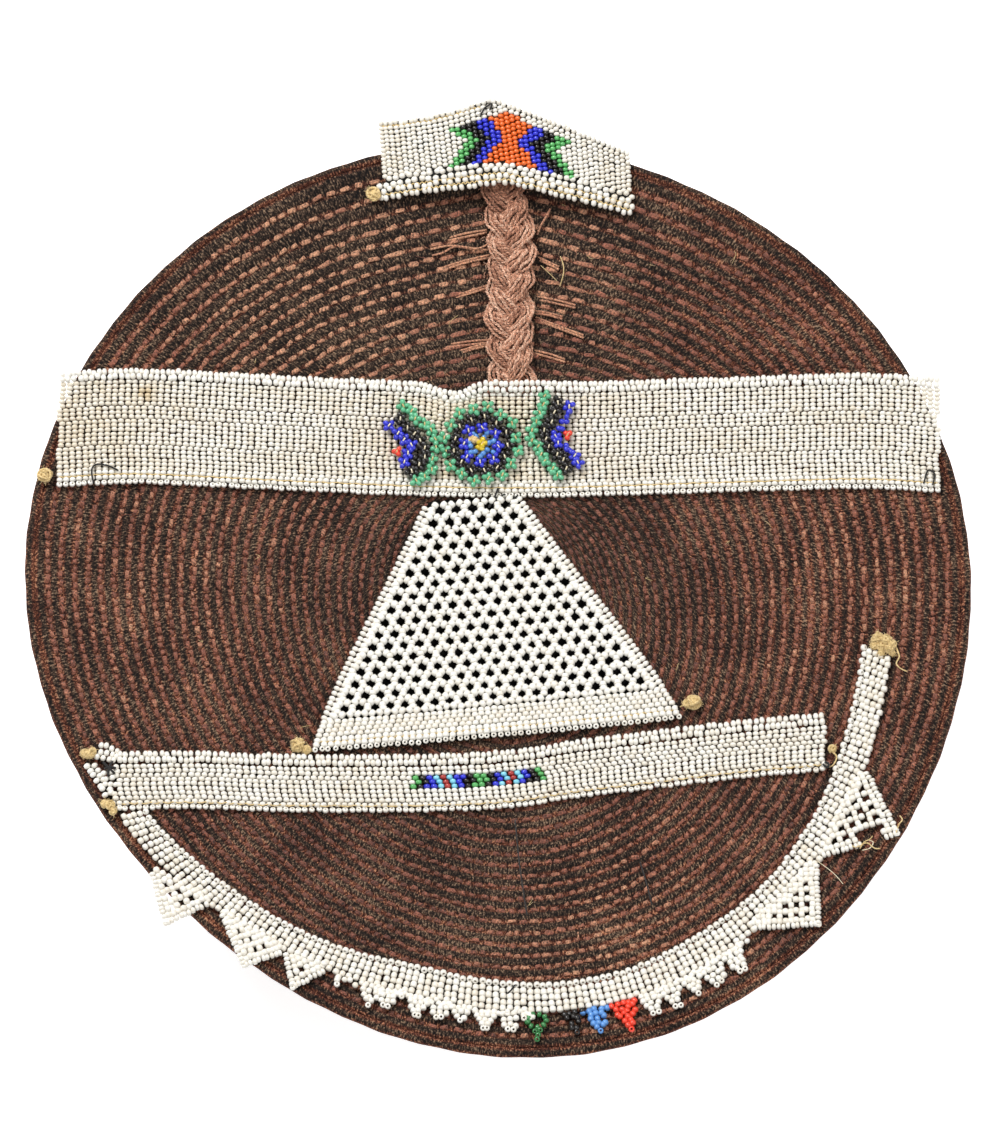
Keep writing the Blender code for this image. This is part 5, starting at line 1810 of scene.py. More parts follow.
@dataclass
class NarrowBand(BeadStrip):
    """The narrow band in front of the net, with a short row of coloured columns."""

    back_edge: Points = (
        (-0.856, -0.376), (-0.640, -0.361), (-0.430, -0.359), (-0.030, -0.345), (0.196, -0.315),
        (0.490, -0.286), (0.684, -0.277)
    )
    width: float = 28.0 * MM
    slant: float = 9.0 * MM
    samples = 1000
    motif: str = "GKBLRLBKGGKBLRLBKG"
    motif_start: float = -40.0 * MM
    motif_end: float = 19.5 * MM
    left_edge: float = -173.6 * MM
    seed: int = 71

    def place(self, share: Array, drop: Array) -> Array:
        """Plan places by share along the band and distance in front of its back edge."""
        line = through(self.back_edge, share) * HAT.rim_radius
        lean = self.slant * np.clip(1 - 6 * share, 0, None) * drop / self.width
        return np.column_stack([line[:, 0] + lean, line[:, 1] - drop])

    def shown(self, plan: Array) -> Array:
        """The places to the right of the band's left edge."""
        return plan[plan[:, 0] > self.left_edge]

    def motif_colours(self, plan: Array, offset: float) -> Array:
        """Finish numbers of the motif's rows.

        Args:
            plan: Plan places of a row's beads.
            offset: How far the row is moved along, in beads.

        Returns:
            The numbers, with white outside the motif.
        """
        letters = {
            "G": Colour.LEAF_GREEN, "K": Colour.BLACK, "B": Colour.COBALT, "L": Colour.LIGHT_BLUE,
            "R": Colour.RED
        }
        step = (self.motif_end - self.motif_start) / len(self.motif)
        numbers = np.floor((plan[:, 0] - self.motif_start - offset * step) / step).astype(int)
        colours = np.zeros(len(plan), int)
        for place, number in enumerate(numbers):
            if 0 <= number < len(self.motif):
                colours[place] = letters[self.motif[number]].value
        return colours

    def build(self) -> None:
        """Builds the band."""
        work = BeadField(HAT.bed, self.seed)
        for drop, pitch, lift, tone in ((1.5, 2.7, 0, 0.06), (4.4, 2.5, 0.7, 0.10)):
            plan = self.shown(self.row(pitch * MM, drop * MM))
            work.lay(
                plan, (1, 0.06), diameter=3.2 * MM, length=2.3 * MM, lift=lift * MM, tone=tone,
                jitter=0.25 * MM
            )
        drop = 6.2 * MM
        for group, rows in enumerate((2, 3, 3, 1)):
            shift = work.draw.uniform(-0.35, 0.35)
            for row in range(rows):
                at = drop + 1.05 * MM
                lean = 0.35 if group == 1 and row == 1 else 0
                plan = self.shown(self.row(3.08 * MM, at, shift + lean))
                tone = 0.08 + 0.10 * (0.5 + 0.5 * np.sin(plan[:, 0] * 67)) + 0.12 * (group == 3)
                colours = self.motif_colours(plan, lean) if group == 1 else np.zeros(len(plan), int)
                work.lay(plan, (0, 1), length=2.08 * MM, tone=tone, colour=colours)
                drop += 2.1 * MM
            drop += 0.12 * MM
        plan = self.shown(self.place(self.spaced(3 * MM, self.width - 1.2 * MM), self.width - 1.3 * MM))
        work.lay(plan, (0, 1), OPEN_BEAD, 2.75 * MM, 2.1 * MM, 0.1 * MM, 0.06, upright=0.7, jitter=0.2 * MM)
        shares = np.linspace(0.04, 0.985, 200)
        wave = 0.4 * MM * np.sin(np.arange(200) * 1.6)
        work.thread(self.place(shares, self.width - 2.9 * MM + wave), 2.3 * MM, 0.28 * MM, Colour.THREAD, 1)
        self.ends(work)
        self.shop.place_beads(work, "narrow_band_beads", "white_beads", "narrow_band")

    def ends(self, work: BeadField) -> None:
        """Adds the folded strips at the left end, and the black thread left at both ends.

        Args:
            work: The band's beads.
        """
        for start, end, rows, lift in (
            ((-181.8, -79.9), (-172, -82.6), 3, 0.4), ((-184.6, -86), (-175.4, -101.2), 2, 0),
            ((-177.6, -88.6), (-173.8, -96.5), 2, 0.2)
        ):
            line = (np.array(end) - start) * MM
            reach = float(np.linalg.norm(line))
            along, count = line / reach, int(reach / (2.35 * MM))
            for row in range(rows):
                steps = (np.arange(count) + 0.5 + 0.4 * (row % 2)) * reach / count
                aside = (row - 0.5 * (rows - 1)) * 2.75 * MM * np.array([-along[1], along[0]])
                plan = np.array(start) * MM + np.outer(steps, along) + aside
                work.lay(plan, along, length=2.2 * MM, lift=lift * MM, tone=0.04, jitter=0.3 * MM)
        for points in (
            ((-178.6, -86), (-176.4, -88.4), (-173.4, -91.2)),
            ((-174.6, -85.4), (-176, -88.6), (-176.4, -92.6)),
            ((-178, -89.2), (-175.6, -88.2), (-173, -88.6)),
            ((145.6, -84.6), (147.4, -86.4), (148.2, -84.6), (146.4, -83.6))
        ):
            work.thread(route(points, 8), 3.3 * MM, 0.55 * MM, Colour.BLACK_THREAD)


@dataclass(frozen=True)
class NettedPoint:
    """A netted point: a triangle from two places on the collar to a tip, in plan millimetres."""

    first: tuple[float, float]
    second: tuple[float, float]
    tip: tuple[float, float]
    steps: int
    torn: float = 0.0


@dataclass
class Collar(SubAssembly):
    """The collar inside the front of the rim, with netted points and small picots."""

    edge: Points = (
        (215, 0.892), (227, 0.873), (237, 0.862), (247, 0.853), (258, 0.842), (267, 0.853), (277, 0.867),
        (287, 0.872), (298, 0.862), (310, 0.851), (320, 0.831), (331, 0.806), (341, 0.786), (350.5, 0.777)
    )
    widths: Points = ((214, 12), (240, 12.7), (262, 14.3), (300, 14.1), (350.5, 13.6))
    netted: tuple[NettedPoint, ...] = (
        NettedPoint((-155.2, -136.9), (-130.2, -150.4), (-148.1, -160.8), 9),
        NettedPoint((-123.9, -155.3), (-96.7, -172.3), (-113.4, -179), 10),
        NettedPoint((-95.4, -172.7), (-78.1, -180.5), (-91.6, -188.6), 6),
        NettedPoint((164.2, -88.7), (143.7, -127.8), (177, -118.8), 13, 0.5),
        NettedPoint((141, -131.5), (112.2, -160.8), (141, -160), 12)
    )
    picots: tuple[tuple[float, float, tuple[int, ...]], ...] = (
        (-72.7, -186.1, (1,)), (-58.7, -195.6, (4, 3, 1)), (-50.6, -195.7, (4, 3, 2)),
        (-43.6, -191.2, (3, 1)), (-37.5, -199.9, (4, 3, 2)), (-27.2, -200.7, (4, 3, 2)),
        (-18.1, -202.8, (4, 3, 1)), (-7.1, -205.7, (4, 3, 2)), (4.4, -206.4, (4, 3, 2)), (11.4, -200.7, (2,)),
        (68.3, -198.7, (4, 3, 2)), (77.7, -195.8, (4, 3, 2)), (86.9, -190, (4, 3, 1)),
        (96.8, -185.5, (4, 4, 2)), (106.8, -180.1, (5, 3, 2))
    )
    start: float = 213.9
    rows: int = 5
    seed: int = 83

    def width_at(self, degrees: Array | float) -> Array:
        """The collar's width in that direction."""
        table = np.array(self.widths)
        return np.interp(degrees, table[:, 0], table[:, 1]) * MM

    def radius_at(self, degrees: Array | float) -> Array:
        """Distance of the collar's inner edge from the middle of the rim.

        Args:
            degrees: The directions.

        Returns:
            The distances.
        """
        table = np.array(self.edge)
        place = np.clip(np.interp(degrees, table[:, 0], np.arange(len(table))), 0, len(table) - 1)
        share = np.atleast_1d(place / (len(table) - 1))
        return through(table[:, 1:], share)[:, 0] * HAT.rim_radius

    def place(self, degrees: Array, outward: Array) -> Array:
        """Plan places by direction and distance outward of the inner edge."""
        radius = self.radius_at(degrees) + outward
        turn = np.radians(degrees)
        return np.column_stack([radius * np.cos(turn), radius * np.sin(turn)])

    def columns(self) -> Array:
        """Directions of the bead columns, an even distance apart.

        Returns:
            The directions in degrees.
        """
        degrees = np.linspace(self.start, self.edge[-1][0], 900)
        plan = self.place(degrees, 0.5 * self.width_at(degrees))
        travelled = lengths_along(plan)
        count = int(travelled[-1] / (3.05 * MM))
        return np.interp((np.arange(count) + 0.5) * travelled[-1] / count, travelled, degrees)

    def build(self) -> None:
        """Builds the collar."""
        work = BeadField(HAT.bed, self.seed, 2.98 * MM, 2.6 * MM)
        degrees = self.columns()
        skew = 1.1 * np.clip((226 - degrees) / 11, 0, 1) + 1.6 * np.clip((degrees - 335) / 15, 0, 1)
        pitch = self.width_at(degrees) / self.rows
        for row in range(self.rows):
            stagger = 0.26 * (np.arange(len(degrees)) % 2) - 0.13
            at = (row + 0.5 + stagger * (0.5 + 0.5 * (degrees > 318))) * pitch
            turned = degrees - skew * (row + 0.5) / self.rows
            outward = np.radians(turned)
            axis = facing(outward)
            tone = 0.05 + 0.09 * np.sin(degrees * 0.5) ** 2 + 0.02 * row
            inner = row == 0
            work.lay(
                self.place(turned, at), axis, OPEN_BEAD if inner else BARREL_BEAD, length=0.93 * pitch,
                tone=tone * (0.3 if inner else 1), lift=0.5 * MM if inner else 0, upright=0.4 if inner else 0,
                jitter=0.16 * MM
            )
        for point in self.netted:
            self.netted_point(work, point)
        for tip_x, tip_y, counts in self.picots:
            self.picot(work, (tip_x * MM, tip_y * MM), counts, Colour.WHITE)
        self.fringe(work)
        self.threads(work)
        self.shop.place_beads(work, "collar_beads", "white_beads", "collar")

    def netted_point(self, work: BeadField, point: NettedPoint) -> None:
        """Adds one netted point: beads along both legs and a net between them, with open places.

        Args:
            work: The collar's beads.
            point: Its shape.
        """
        first, second, tip = (np.array(p) * MM for p in (point.first, point.second, point.tip))
        steps = point.steps
        to_first, to_second = (first - tip) / steps, (second - tip) / steps
        places, axes, lifts = [], [], []
        for i in range(1, steps + 1):
            for j in range(1, steps - i + 2):
                if i % 2 == 0 and j % 2 == 0 and i + j <= steps - 1:
                    continue
                if point.torn and i < 3 and 2 < j < 0.5 * steps:
                    continue
                places.append(tip + to_first * i + to_second * j)
                axes.append(to_first if j % 2 == 0 else to_second)
                lifts.append(0.5 if (i + j) % 2 else 0.1)
        axis = unit(np.array(axes))
        work.lay(
            np.array(places), axis, BARREL_BEAD, 3.1 * MM, 2.5 * MM, np.array(lifts) * MM, 0.12,
            jitter=0.22 * MM
        )
        for leg in (first, second):
            reach = float(np.linalg.norm(leg - tip))
            count = int(reach / (1.95 * MM))
            shares = (np.arange(count) + 0.5) / count
            if point.torn and leg is second:
                shares = shares[(shares < 0.2) | (shares > 0.45)]
            line = tip + np.outer(shares, leg - tip)
            work.lay(
                line, unit(leg - tip), diameter=2.95 * MM, length=1.9 * MM, tone=0.06, lift=0.35 * MM,
                jitter=0.2 * MM
            )
        work.lay(tip[None], unit(first - second), OPEN_BEAD, 2.7 * MM, 2 * MM, 0.4 * MM, 0.1, upright=0.7)

    def picot(
        self, work: BeadField, tip: tuple[float, float], counts: tuple[int, ...], colour: Colour
    ) -> None:
        """Adds one small point: rows of beads that narrow to a tip whose beads show their holes.

        Args:
            work: The field that takes the beads.
            tip: Plan place of the tip.
            counts: Beads across it, from the collar to the tip.
            colour: Their colour.
        """
        end = np.array(tip)
        reach = float(np.linalg.norm(end))
        out = end / reach
        aside = np.array([-out[1], out[0]])
        degrees = math.degrees(math.atan2(tip[1], tip[0])) % 360
        start = float(self.radius_at(degrees)[0] + self.width_at(degrees)) + 1.2 * MM
        room = max(reach + 0.7 * MM - start, 0)
        rows = max(len(counts), int(round(room / (2.15 * MM))) + 1)
        widths = np.interp(np.linspace(0, 1, rows), np.linspace(0, 1, len(counts)), counts)
        for number, width in enumerate(widths):
            last = number == rows - 1
            radius = start + room * (number / (rows - 1) if rows > 1 else 1)
            across = np.arange(int(round(width))) - 0.5 * (round(width) - 1)
            plan = out * radius + np.outer(across * 2.6 * MM, aside)
            fan = unit(out + np.outer(0.16 * across, aside))
            work.lay(
                plan, fan, OPEN_BEAD if last else BARREL_BEAD, diameter=2.8 * MM, length=2.3 * MM, tone=0.06,
                lift=(0.15 + 0.45 * (number % 2)) * MM, colour=colour, upright=0.75 if last else 0.1,
                jitter=0.28 * MM
            )

    def fringe(self, work: BeadField) -> None:
        """Adds the crowded beads along the outer edge where the small points hang.

        Args:
            work: The collar's beads.
        """
        for first, last in ((249.5, 274.5), (289.6, 304)):
            degrees = np.arange(first, last, 0.72)
            turn = np.radians(degrees + np.where(np.arange(len(degrees)) % 2, 14, -14))
            outward = 0.9 * MM + np.maximum(work.draw.normal(0, 0.9 * MM, len(degrees)), -0.6 * MM)
            plan = self.place(degrees, self.width_at(degrees) + outward)
            axis = facing(turn)
            work.lay(
                plan, axis, diameter=2.7 * MM, length=2.3 * MM, tone=0.08, lift=0.4 * MM, jitter=0.4 * MM
            )

    def threads(self, work: BeadField) -> None:
        """Adds the loose loops and ends of tan and black thread along the collar.

        Args:
            work: The collar's beads.
        """
        for radius, colour, points in (
            (
                0.3, Colour.THREAD,
                ((157, -124), (159.1, -124.8), (163.5, -123), (166.9, -125.8), (169.4, -126))
            ), (0.26, Colour.THREAD, ((160.5, -125.6), (162.4, -122.6), (164.9, -121.4), (166.2, -119.9))),
            (0.2, Colour.PALE_THREAD, ((161.5, -126.4), (164.8, -125.6), (166.4, -122.9), (164.2, -121.6))),
            (0.3, Colour.THREAD, ((176.5, -119), (178, -115), (179.5, -113), (178.5, -111))),
            (0.16, Colour.PALE_THREAD, ((141.5, -130.5), (146.6, -134.8), (149.8, -138.2), (152.5, -142))),
            (0.42, Colour.BLACK_THREAD, ((6.7, -185.6), (4.9, -188.4), (3, -190.6)))
        ):
            work.thread(route(points, 18), 2.6 * MM, radius * MM, colour)


@dataclass
class ColouredPoint(SubAssembly):
    """A small coloured point that hangs from the collar, in rows that narrow to a tip."""

    name: str
    tip: tuple[float, float]
    counts: tuple[int, ...]
    colour: Colour
    collar: Collar
    seed: int

    def build(self) -> None:
        """Builds the point."""
        work = BeadField(HAT.bed, self.seed, 2.5 * MM, 2 * MM)
        tip = (self.tip[0] * MM, self.tip[1] * MM)
        if self.counts:
            self.collar.picot(work, tip, self.counts, self.colour)
        else:
            self.loop(work, tip)
        self.shop.place_beads(work, self.name + "_point_beads", self.name + "_beads", self.name + "_point")

    def loop(self, work: BeadField, tip: tuple[float, float]) -> None:
        """Adds a ring of beads round a dark middle, a narrowing and a short stem.

        Args:
            work: The field that takes the beads.
            tip: Plan place of the stem's end.
        """
        end = np.array(tip)
        out = end / np.linalg.norm(end)
        aside = np.array([-out[1], out[0]])
        middle = end - out * 9.6 * MM
        turns = TURN * np.arange(9) / 9
        away = np.outer(0.9 * np.cos(turns), out) + np.outer(1.2 * np.sin(turns), aside)
        around = np.outer(-np.sin(turns), out) + np.outer(np.cos(turns), aside)
        work.lay(
            middle + away * 3.5 * MM, around, colour=self.colour, diameter=2.7 * MM, lift=0.4 * MM,
            upright=0.2
        )
        for back, side in ((5, -1.2), (5, 1.2), (3, 0), (1, -0.4)):
            place = (end - out * back * MM + aside * side * MM)[None]
            work.lay(place, out, OPEN_BEAD, 2.6 * MM, 2.1 * MM, 0.3 * MM, 0.3, self.colour, 0.6)


@dataclass
class BackPanel(BeadStrip):
    """The panel over the back of the rim: beads in staggered columns, with an orange hourglass."""

    outer: Points = ((-0.268, 1.036), (-0.020, 1.072), (0.280, 0.968))
    inner: Points = ((-0.252, 0.869), (0.008, 0.890), (0.286, 0.833))
    column_pitch: float = 2.62 * MM
    row_pitch: float = 1.95 * MM
    edging: float = 9.8 * MM
    outer_edging: float = 2.5 * MM
    pattern: tuple[float, float] = (9.8 * MM, 34.4 * MM)
    waist_at: float = 21.4 * MM
    waist: float = 3.4 * MM
    flare: float = 10.0 * MM
    chevrons: tuple[float, ...] = (0, 5.9 * MM, 11.8 * MM, 17.2 * MM)
    sag: float = 0.06
    samples = 800
    seed: int = 91

    def bed(self, x: Array, y: Array) -> Array:
        """Height of the panel's underside: a ridge over the cord that falls to both ends.

        Args:
            x: Plan places to the right of the middle of the rim.
            y: Plan places behind it.

        Returns:
            The heights.
        """
        ridge_x = 0.006 * HAT.rim_radius
        left, right = self.inner[0][0] * HAT.rim_radius, self.inner[-1][0] * HAT.rim_radius
        flat = 7 * MM
        offset = x - ridge_x
        room = np.where(offset < 0, ridge_x - left, right - ridge_x) - flat
        share = np.clip((np.abs(offset) - flat) / room, 0, 1)
        ridge = 8 * MM + 3 * HAT.lay_gap
        return HAT.bed(x, y) + ridge * (1 - share) * (1 + 0.5 * share)

    def place(self, share: Array, across: Array) -> Array:
        """Plan places on the panel.

        Args:
            share: Shares of the way along the panel.
            across: Shares of the way to its outer edge.

        Returns:
            Rows of x and y.
        """
        outer = np.array(self.outer) * HAT.rim_radius
        inner = np.array(self.inner) * HAT.rim_radius
        at = share * 2
        side = np.clip(at.astype(int), 0, 1)
        t = (at - side)[:, None]
        low = inner[side] + (inner[side + 1] - inner[side]) * t
        high = outer[side] + (outer[side + 1] - outer[side]) * t
        sagging = 1 - self.sag * np.sin(np.pi * np.clip(t, 0, 1)) * (side == 0)[:, None]
        return low + (high - low) * np.broadcast_to(across, share.shape)[:, None] * sagging

    def depth(self, share: Array) -> Array:
        """Plan distance from the inner edge to the outer one, by share along the panel."""
        return np.linalg.norm(self.place(share, 1) - self.place(share, 0), axis=1)

    def colours(self, plan: Array, inward: Array) -> Array:
        """Finish numbers of the pattern: an orange hourglass beside blue, black and green chevrons.

        Args:
            plan: The beads' plan places.
            inward: Their distances from the inner edge.

        Returns:
            The numbers, with white outside the pattern.
        """
        low, high = self.pattern
        above = (inward - self.waist_at) / (high - self.waist_at)
        below = (self.waist_at - inward) / (self.waist_at - low)
        middle = 5.4 * MM - 1.7 * MM * (inward - low) / (29 * MM)
        side = np.abs(plan[:, 0] - middle)
        colours = np.full(len(plan), Colour.ORANGE.value)
        order = (Colour.COBALT, Colour.BLACK, Colour.LEAF_GREEN, Colour.WHITE)
        for number, (start, colour) in enumerate(zip(self.chevrons, order)):
            reach = self.waist + self.flare * np.maximum((1 + 0.24 * number) * above, below)
            colours = np.where(side - reach > start, colour.value, colours)
        top = high - 3.4 * MM * (1 - np.exp(-((side / (6 * MM)) ** 2))) - 0.14 * side
        outside = (inward < low) | (inward > top)
        return np.where(outside, Colour.WHITE.value, colours)

    def build(self) -> None:
        """Builds the panel."""
        work = BeadField(self.bed, self.seed)
        columns = self.spaced(self.column_pitch, 0.5)
        count = len(columns)
        depth = self.depth(columns)
        room = depth - self.edging - self.outer_edging
        stagger = 0.5 * (np.arange(count) % 2)
        beads = np.rint(room / self.row_pitch - stagger)
        for row in range(int(beads.max())):
            inward = self.edging + room * (row + 0.5 + stagger) / (beads + stagger)
            inside = row < beads
            plan = self.place(columns[inside], inward[inside] / depth[inside])
            axis = unit(self.place(columns[inside], inward[inside] / depth[inside] + 0.01) - plan)
            colour = self.colours(plan, inward[inside])
            pale = np.abs(plan[:, 0]) > 45 * MM
            work.lay(
                plan, axis, diameter=2.72 * MM, length=1.93 * MM, tone=0.10 + 0.12 * pale, colour=colour,
                lift=0.4 * MM
            )
        self.build_edges(work)
        # A dark sheet under the beads: their thread, and painted shadow in the gaps between them
        self.thread_and_shadow_sheet(work)
        self.shop.place_beads(work, "back_panel_beads", "white_beads", "back_panel")

    def build_edges(self, work: BeadField) -> None:
        """Adds the picot rows at the inner edge, the row at the outer edge and their threads.

        Args:
            work: The panel's beads.
        """
        for inward, pitch, wide, long, upright, lift, shift in (
            (9.4, 3.2, 3, 2.4, 0, 0.2, 0.5), (6.8, 3.4, 3, 2.7, 0.35, 0.3, 0),
            (4.2, 3.2, 2.8, 2.9, 0.1, 0.1, 0.5), (1.3, 2.9, 2.4, 2.9, 0.3, 0, 0)
        ):
            shares = self.spaced(pitch * MM, inward / 34)
            shares = np.minimum(shares + shift * (shares[1] - shares[0]), 1)
            if inward < 8:
                shares = np.concatenate((shares[:1] - (shares[1] - shares[0]), shares))
            across = inward * MM / self.depth(shares)
            plan = self.place(shares, across)
            axis = unit(self.place(shares, across + 0.01) - plan)
            tone = 0.10 + 0.18 * (plan[:, 0] > 50 * MM) * (inward > 3)
            shape = OPEN_BEAD if upright > 0 else ROUND_BEAD
            work.lay(
                plan, axis, shape, wide * MM, long * MM, lift * MM, tone, upright=upright, jitter=0.3 * MM
            )
        shares = self.spaced(2.45 * MM, 1)
        plan = self.place(shares, 1 - 1.2 * MM / self.depth(shares))
        heading = unit(np.gradient(plan, axis=0))
        work.lay(
            plan, heading, diameter=2.9 * MM, length=2.2 * MM, lift=0.3 * MM, tone=0.15, jitter=0.22 * MM
        )
        for shares, inward in (
            (np.linspace(0.01, 0.99, 220), 2.4 * MM), (np.linspace(0.01, 0.99, 220), 5.2 * MM),
            (np.linspace(0.01, 0.45, 120), None)
        ):
            depth = self.depth(shares)
            wave = 0.45 * MM * np.sin(np.arange(len(shares)) * 1.5)
            across = 1 - (2.6 * MM + wave) / depth if inward is None else (inward + wave) / depth
            work.thread(self.place(shares, across), 2.15 * MM, 0.3 * MM, Colour.THREAD, 1)
        plan = route(((-9, 222), (-7, 225), (-4, 227), (-5, 224)), 10)
        work.thread(plan, 3.5 * MM, 0.42 * MM, Colour.BLACK_THREAD)

    def thread_and_shadow_sheet(self, work: BeadField) -> None:
        """Adds a thin dark sheet, finished as black thread, inside the beads: partly their real thread,
        partly painted shadow in the gaps between them.

        Args:
            work: The panel's beads.
        """
        across = np.linspace(0.03, 0.975, 14)
        shares = np.linspace(0.012, 0.988, 49)
        grid = np.concatenate([self.place(shares, value) for value in across])
        z = self.bed(*grid.T)
        top = np.column_stack([grid, z + 1 * MM])
        low = np.column_stack([grid, z + 0.5 * MM])
        rows, columns = len(across), len(shares)
        i, j = np.meshgrid(np.arange(rows - 1), np.arange(columns - 1), indexing="ij")
        a = (i * columns + j).reshape(-1)
        upper = np.stack([a, a + 1, a + columns + 1, a + columns], axis=1)
        lower = upper[:, ::-1] + len(grid)
        rim = np.concatenate(
            [
                np.arange(columns), np.arange(1, rows) * columns + columns - 1,
                (rows - 1) * columns + np.arange(columns - 2, -1, -1), np.arange(rows - 2, 0, -1) * columns
            ]
        )
        after = np.roll(rim, -1)
        walls = np.stack([rim, rim + len(grid), after + len(grid), after], axis=1)
        faces = np.concatenate([upper, lower, walls])
        # Painted shadow: the dark sheet fills the gaps between the beads, where shade falls, besides standing
        # for their thread
        work.batch.add(np.concatenate([top, low]), [faces], 0.5, Colour.BLACK_THREAD.value)


@dataclass
class ThreadKnot(SubAssembly):
    """A knot of tan thread: many turns pulled into an uneven ball, with its frayed ends and tail."""

    node: str
    tail: Points = ()
    lumps: Points = ()
    ball: float = 1.0
    seed: int = 3
    turns: float = 7.0
    frays: int = 12
    thread_radius: float = 0.62 * MM
    tail_radius: float = 0.5 * MM

    def build(self) -> None:
        """Builds the knot inside the box of its solid, and the lumps of thread beside it."""
        low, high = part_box(self.node)
        draw = np.random.default_rng(self.seed)
        batch = MeshBatch()
        half = 0.5 * self.ball * np.array(high - low)
        middle = 0.5 * np.array(low + high) - [*HAT.middle, 0] - (1 - self.ball) * np.array([0, 3, 1]) * MM
        self.wind(batch, draw, middle, half)
        for x, y, size in self.lumps:
            plan = np.array([x, y]) * MM
            z = float(HAT.bed(plan[0], plan[1])) + (size + 0.6) * MM
            self.wind(batch, draw, np.array([*plan, z]), np.array([size, size, 0.75 * size]) * MM)
        if self.tail:
            plan = route(self.tail, 16)
            z = HAT.bed(*plan.T) + 1.6 * MM
            thin = self.tail_radius * np.linspace(1, 0.55, 16)
            add_tube(batch, np.column_stack([plan, z]), thin, 5, 0.3)
        piece = batch.build(self.node + "_thread", [self.shop.beads[Colour.THREAD.value]])
        self.shop.place(piece, "sewing_thread", self.node)

    def wind(self, batch: MeshBatch, draw: np.random.Generator, centre: Array, half: Array) -> None:
        """Adds one ball of wound thread round a small core, with short frayed ends.

        Args:
            batch: The knot's mesh.
            draw: The seeded draw.
            centre: Its middle.
            half: Half its size each way.
        """
        t = np.linspace(0, 1, 130)
        turn = TURN * t * self.turns
        tip, roll = (rate * np.pi * t + any_turn(draw) for rate in (2.6, 1.7))
        ring = np.column_stack([np.cos(turn), np.sin(turn) * np.cos(tip), np.sin(turn) * np.sin(tip)])
        path = np.column_stack(
            [
                ring[:, 0] * np.cos(roll) - ring[:, 1] * np.sin(roll),
                ring[:, 0] * np.sin(roll) + ring[:, 1] * np.cos(roll), ring[:, 2]
            ]
        )
        swell = 0.80 + 0.13 * np.sin(turn * 0.43 + any_turn(draw)) + 0.10 * np.sin(turn * 1.3 + 1)
        inner = np.maximum(half - 0.7 * self.thread_radius, 0.4 * half)
        add_tube(batch, centre + path * swell[:, None] * inner, self.thread_radius, 5, 0.3)
        points, faces = Bead(sides=9).mesh()
        rough = points * [0.72, 0.72, 1.3] * draw.normal(1, 0.07, (len(points), 1))
        batch.add(centre + rough * inner, faces, 0.3)
        for _ in range(self.frays):
            lean = draw.normal(0, 1, 3)
            lean /= np.linalg.norm(lean)
            lean[2] = abs(lean[2])
            ends = centre + lean * (half * [[0.7], [0.95], [1]] + np.array([[0], [0.2], [0.9]]) * MM)
            ends[1:] += draw.normal(0, 0.35 * MM, (2, 3))
            add_tube(batch, through(ends, np.linspace(0, 1, 5)), 0.11 * MM, 3, 0.2)


TASSEL_TAIL = ((178.3, -28.2), (179.9, -32.7), (180.3, -35.1), (178.9, -37.8), (180.6, -40.3), (183.6, -42))
TASSEL = (
    (170.4, -26.2, 2.6), (174.6, -26.8, 2.8), (177.2, -28.6, 2.3), (169.2, -29, 2.1), (172.6, -29.6, 2.5),
    (175.8, -31.2, 2.4), (172.4, -32.6, 1.8), (177.2, -33, 1.6)
)


# The knots' solids, the plan places of their tails, and places and sizes of the lumps, in millimetres
KNOTS = (
    ("wide_band_knot", (), ()),
    ("net_left_knot", ((-90, -74.6), (-87, -74.4), (-84, -75)), ((-88, -74.8, 2.3),)),
    ("net_right_knot", ((87, -51.4), (84.4, -52.2), (81.6, -53.6)), ((84.9, -52.6, 2.4),)),
    (
        "narrow_band_upper_knot", ((-184, -80.8), (-181.4, -81.8), (-179, -83.4)),
        ((-184.2, -82, 2.7), (-183, -80.6, 2))
    ), ("narrow_band_lower_knot", (), ((-174.2, -105.9, 2.4), (-172.9, -108.7, 2))),
    ("narrow_band_right_knot", ((148.4, -77.4), (151.2, -80.5), (149.4, -84.6), (145.8, -85.6)), ()),
    ("back_panel_knot", (), ()), ("collar_knot", TASSEL_TAIL, TASSEL)
)
# The coloured points from left to right: plan place of the tip in millimetres, and beads across each row; the
# green one has none, because it is a loop
COLOURED_POINTS = (
    ("green", 16.7, -212.4, (), Colour.BOTTLE_GREEN), ("black", 33.1, -208, (4, 3, 2, 1), Colour.BLACK),
    ("blue", 43.9, -207.2, (5, 3, 3, 2, 1), Colour.SKY_BLUE),
    ("red", 57.3, -206.2, (5, 4, 3, 2, 1), Colour.SCARLET)
)


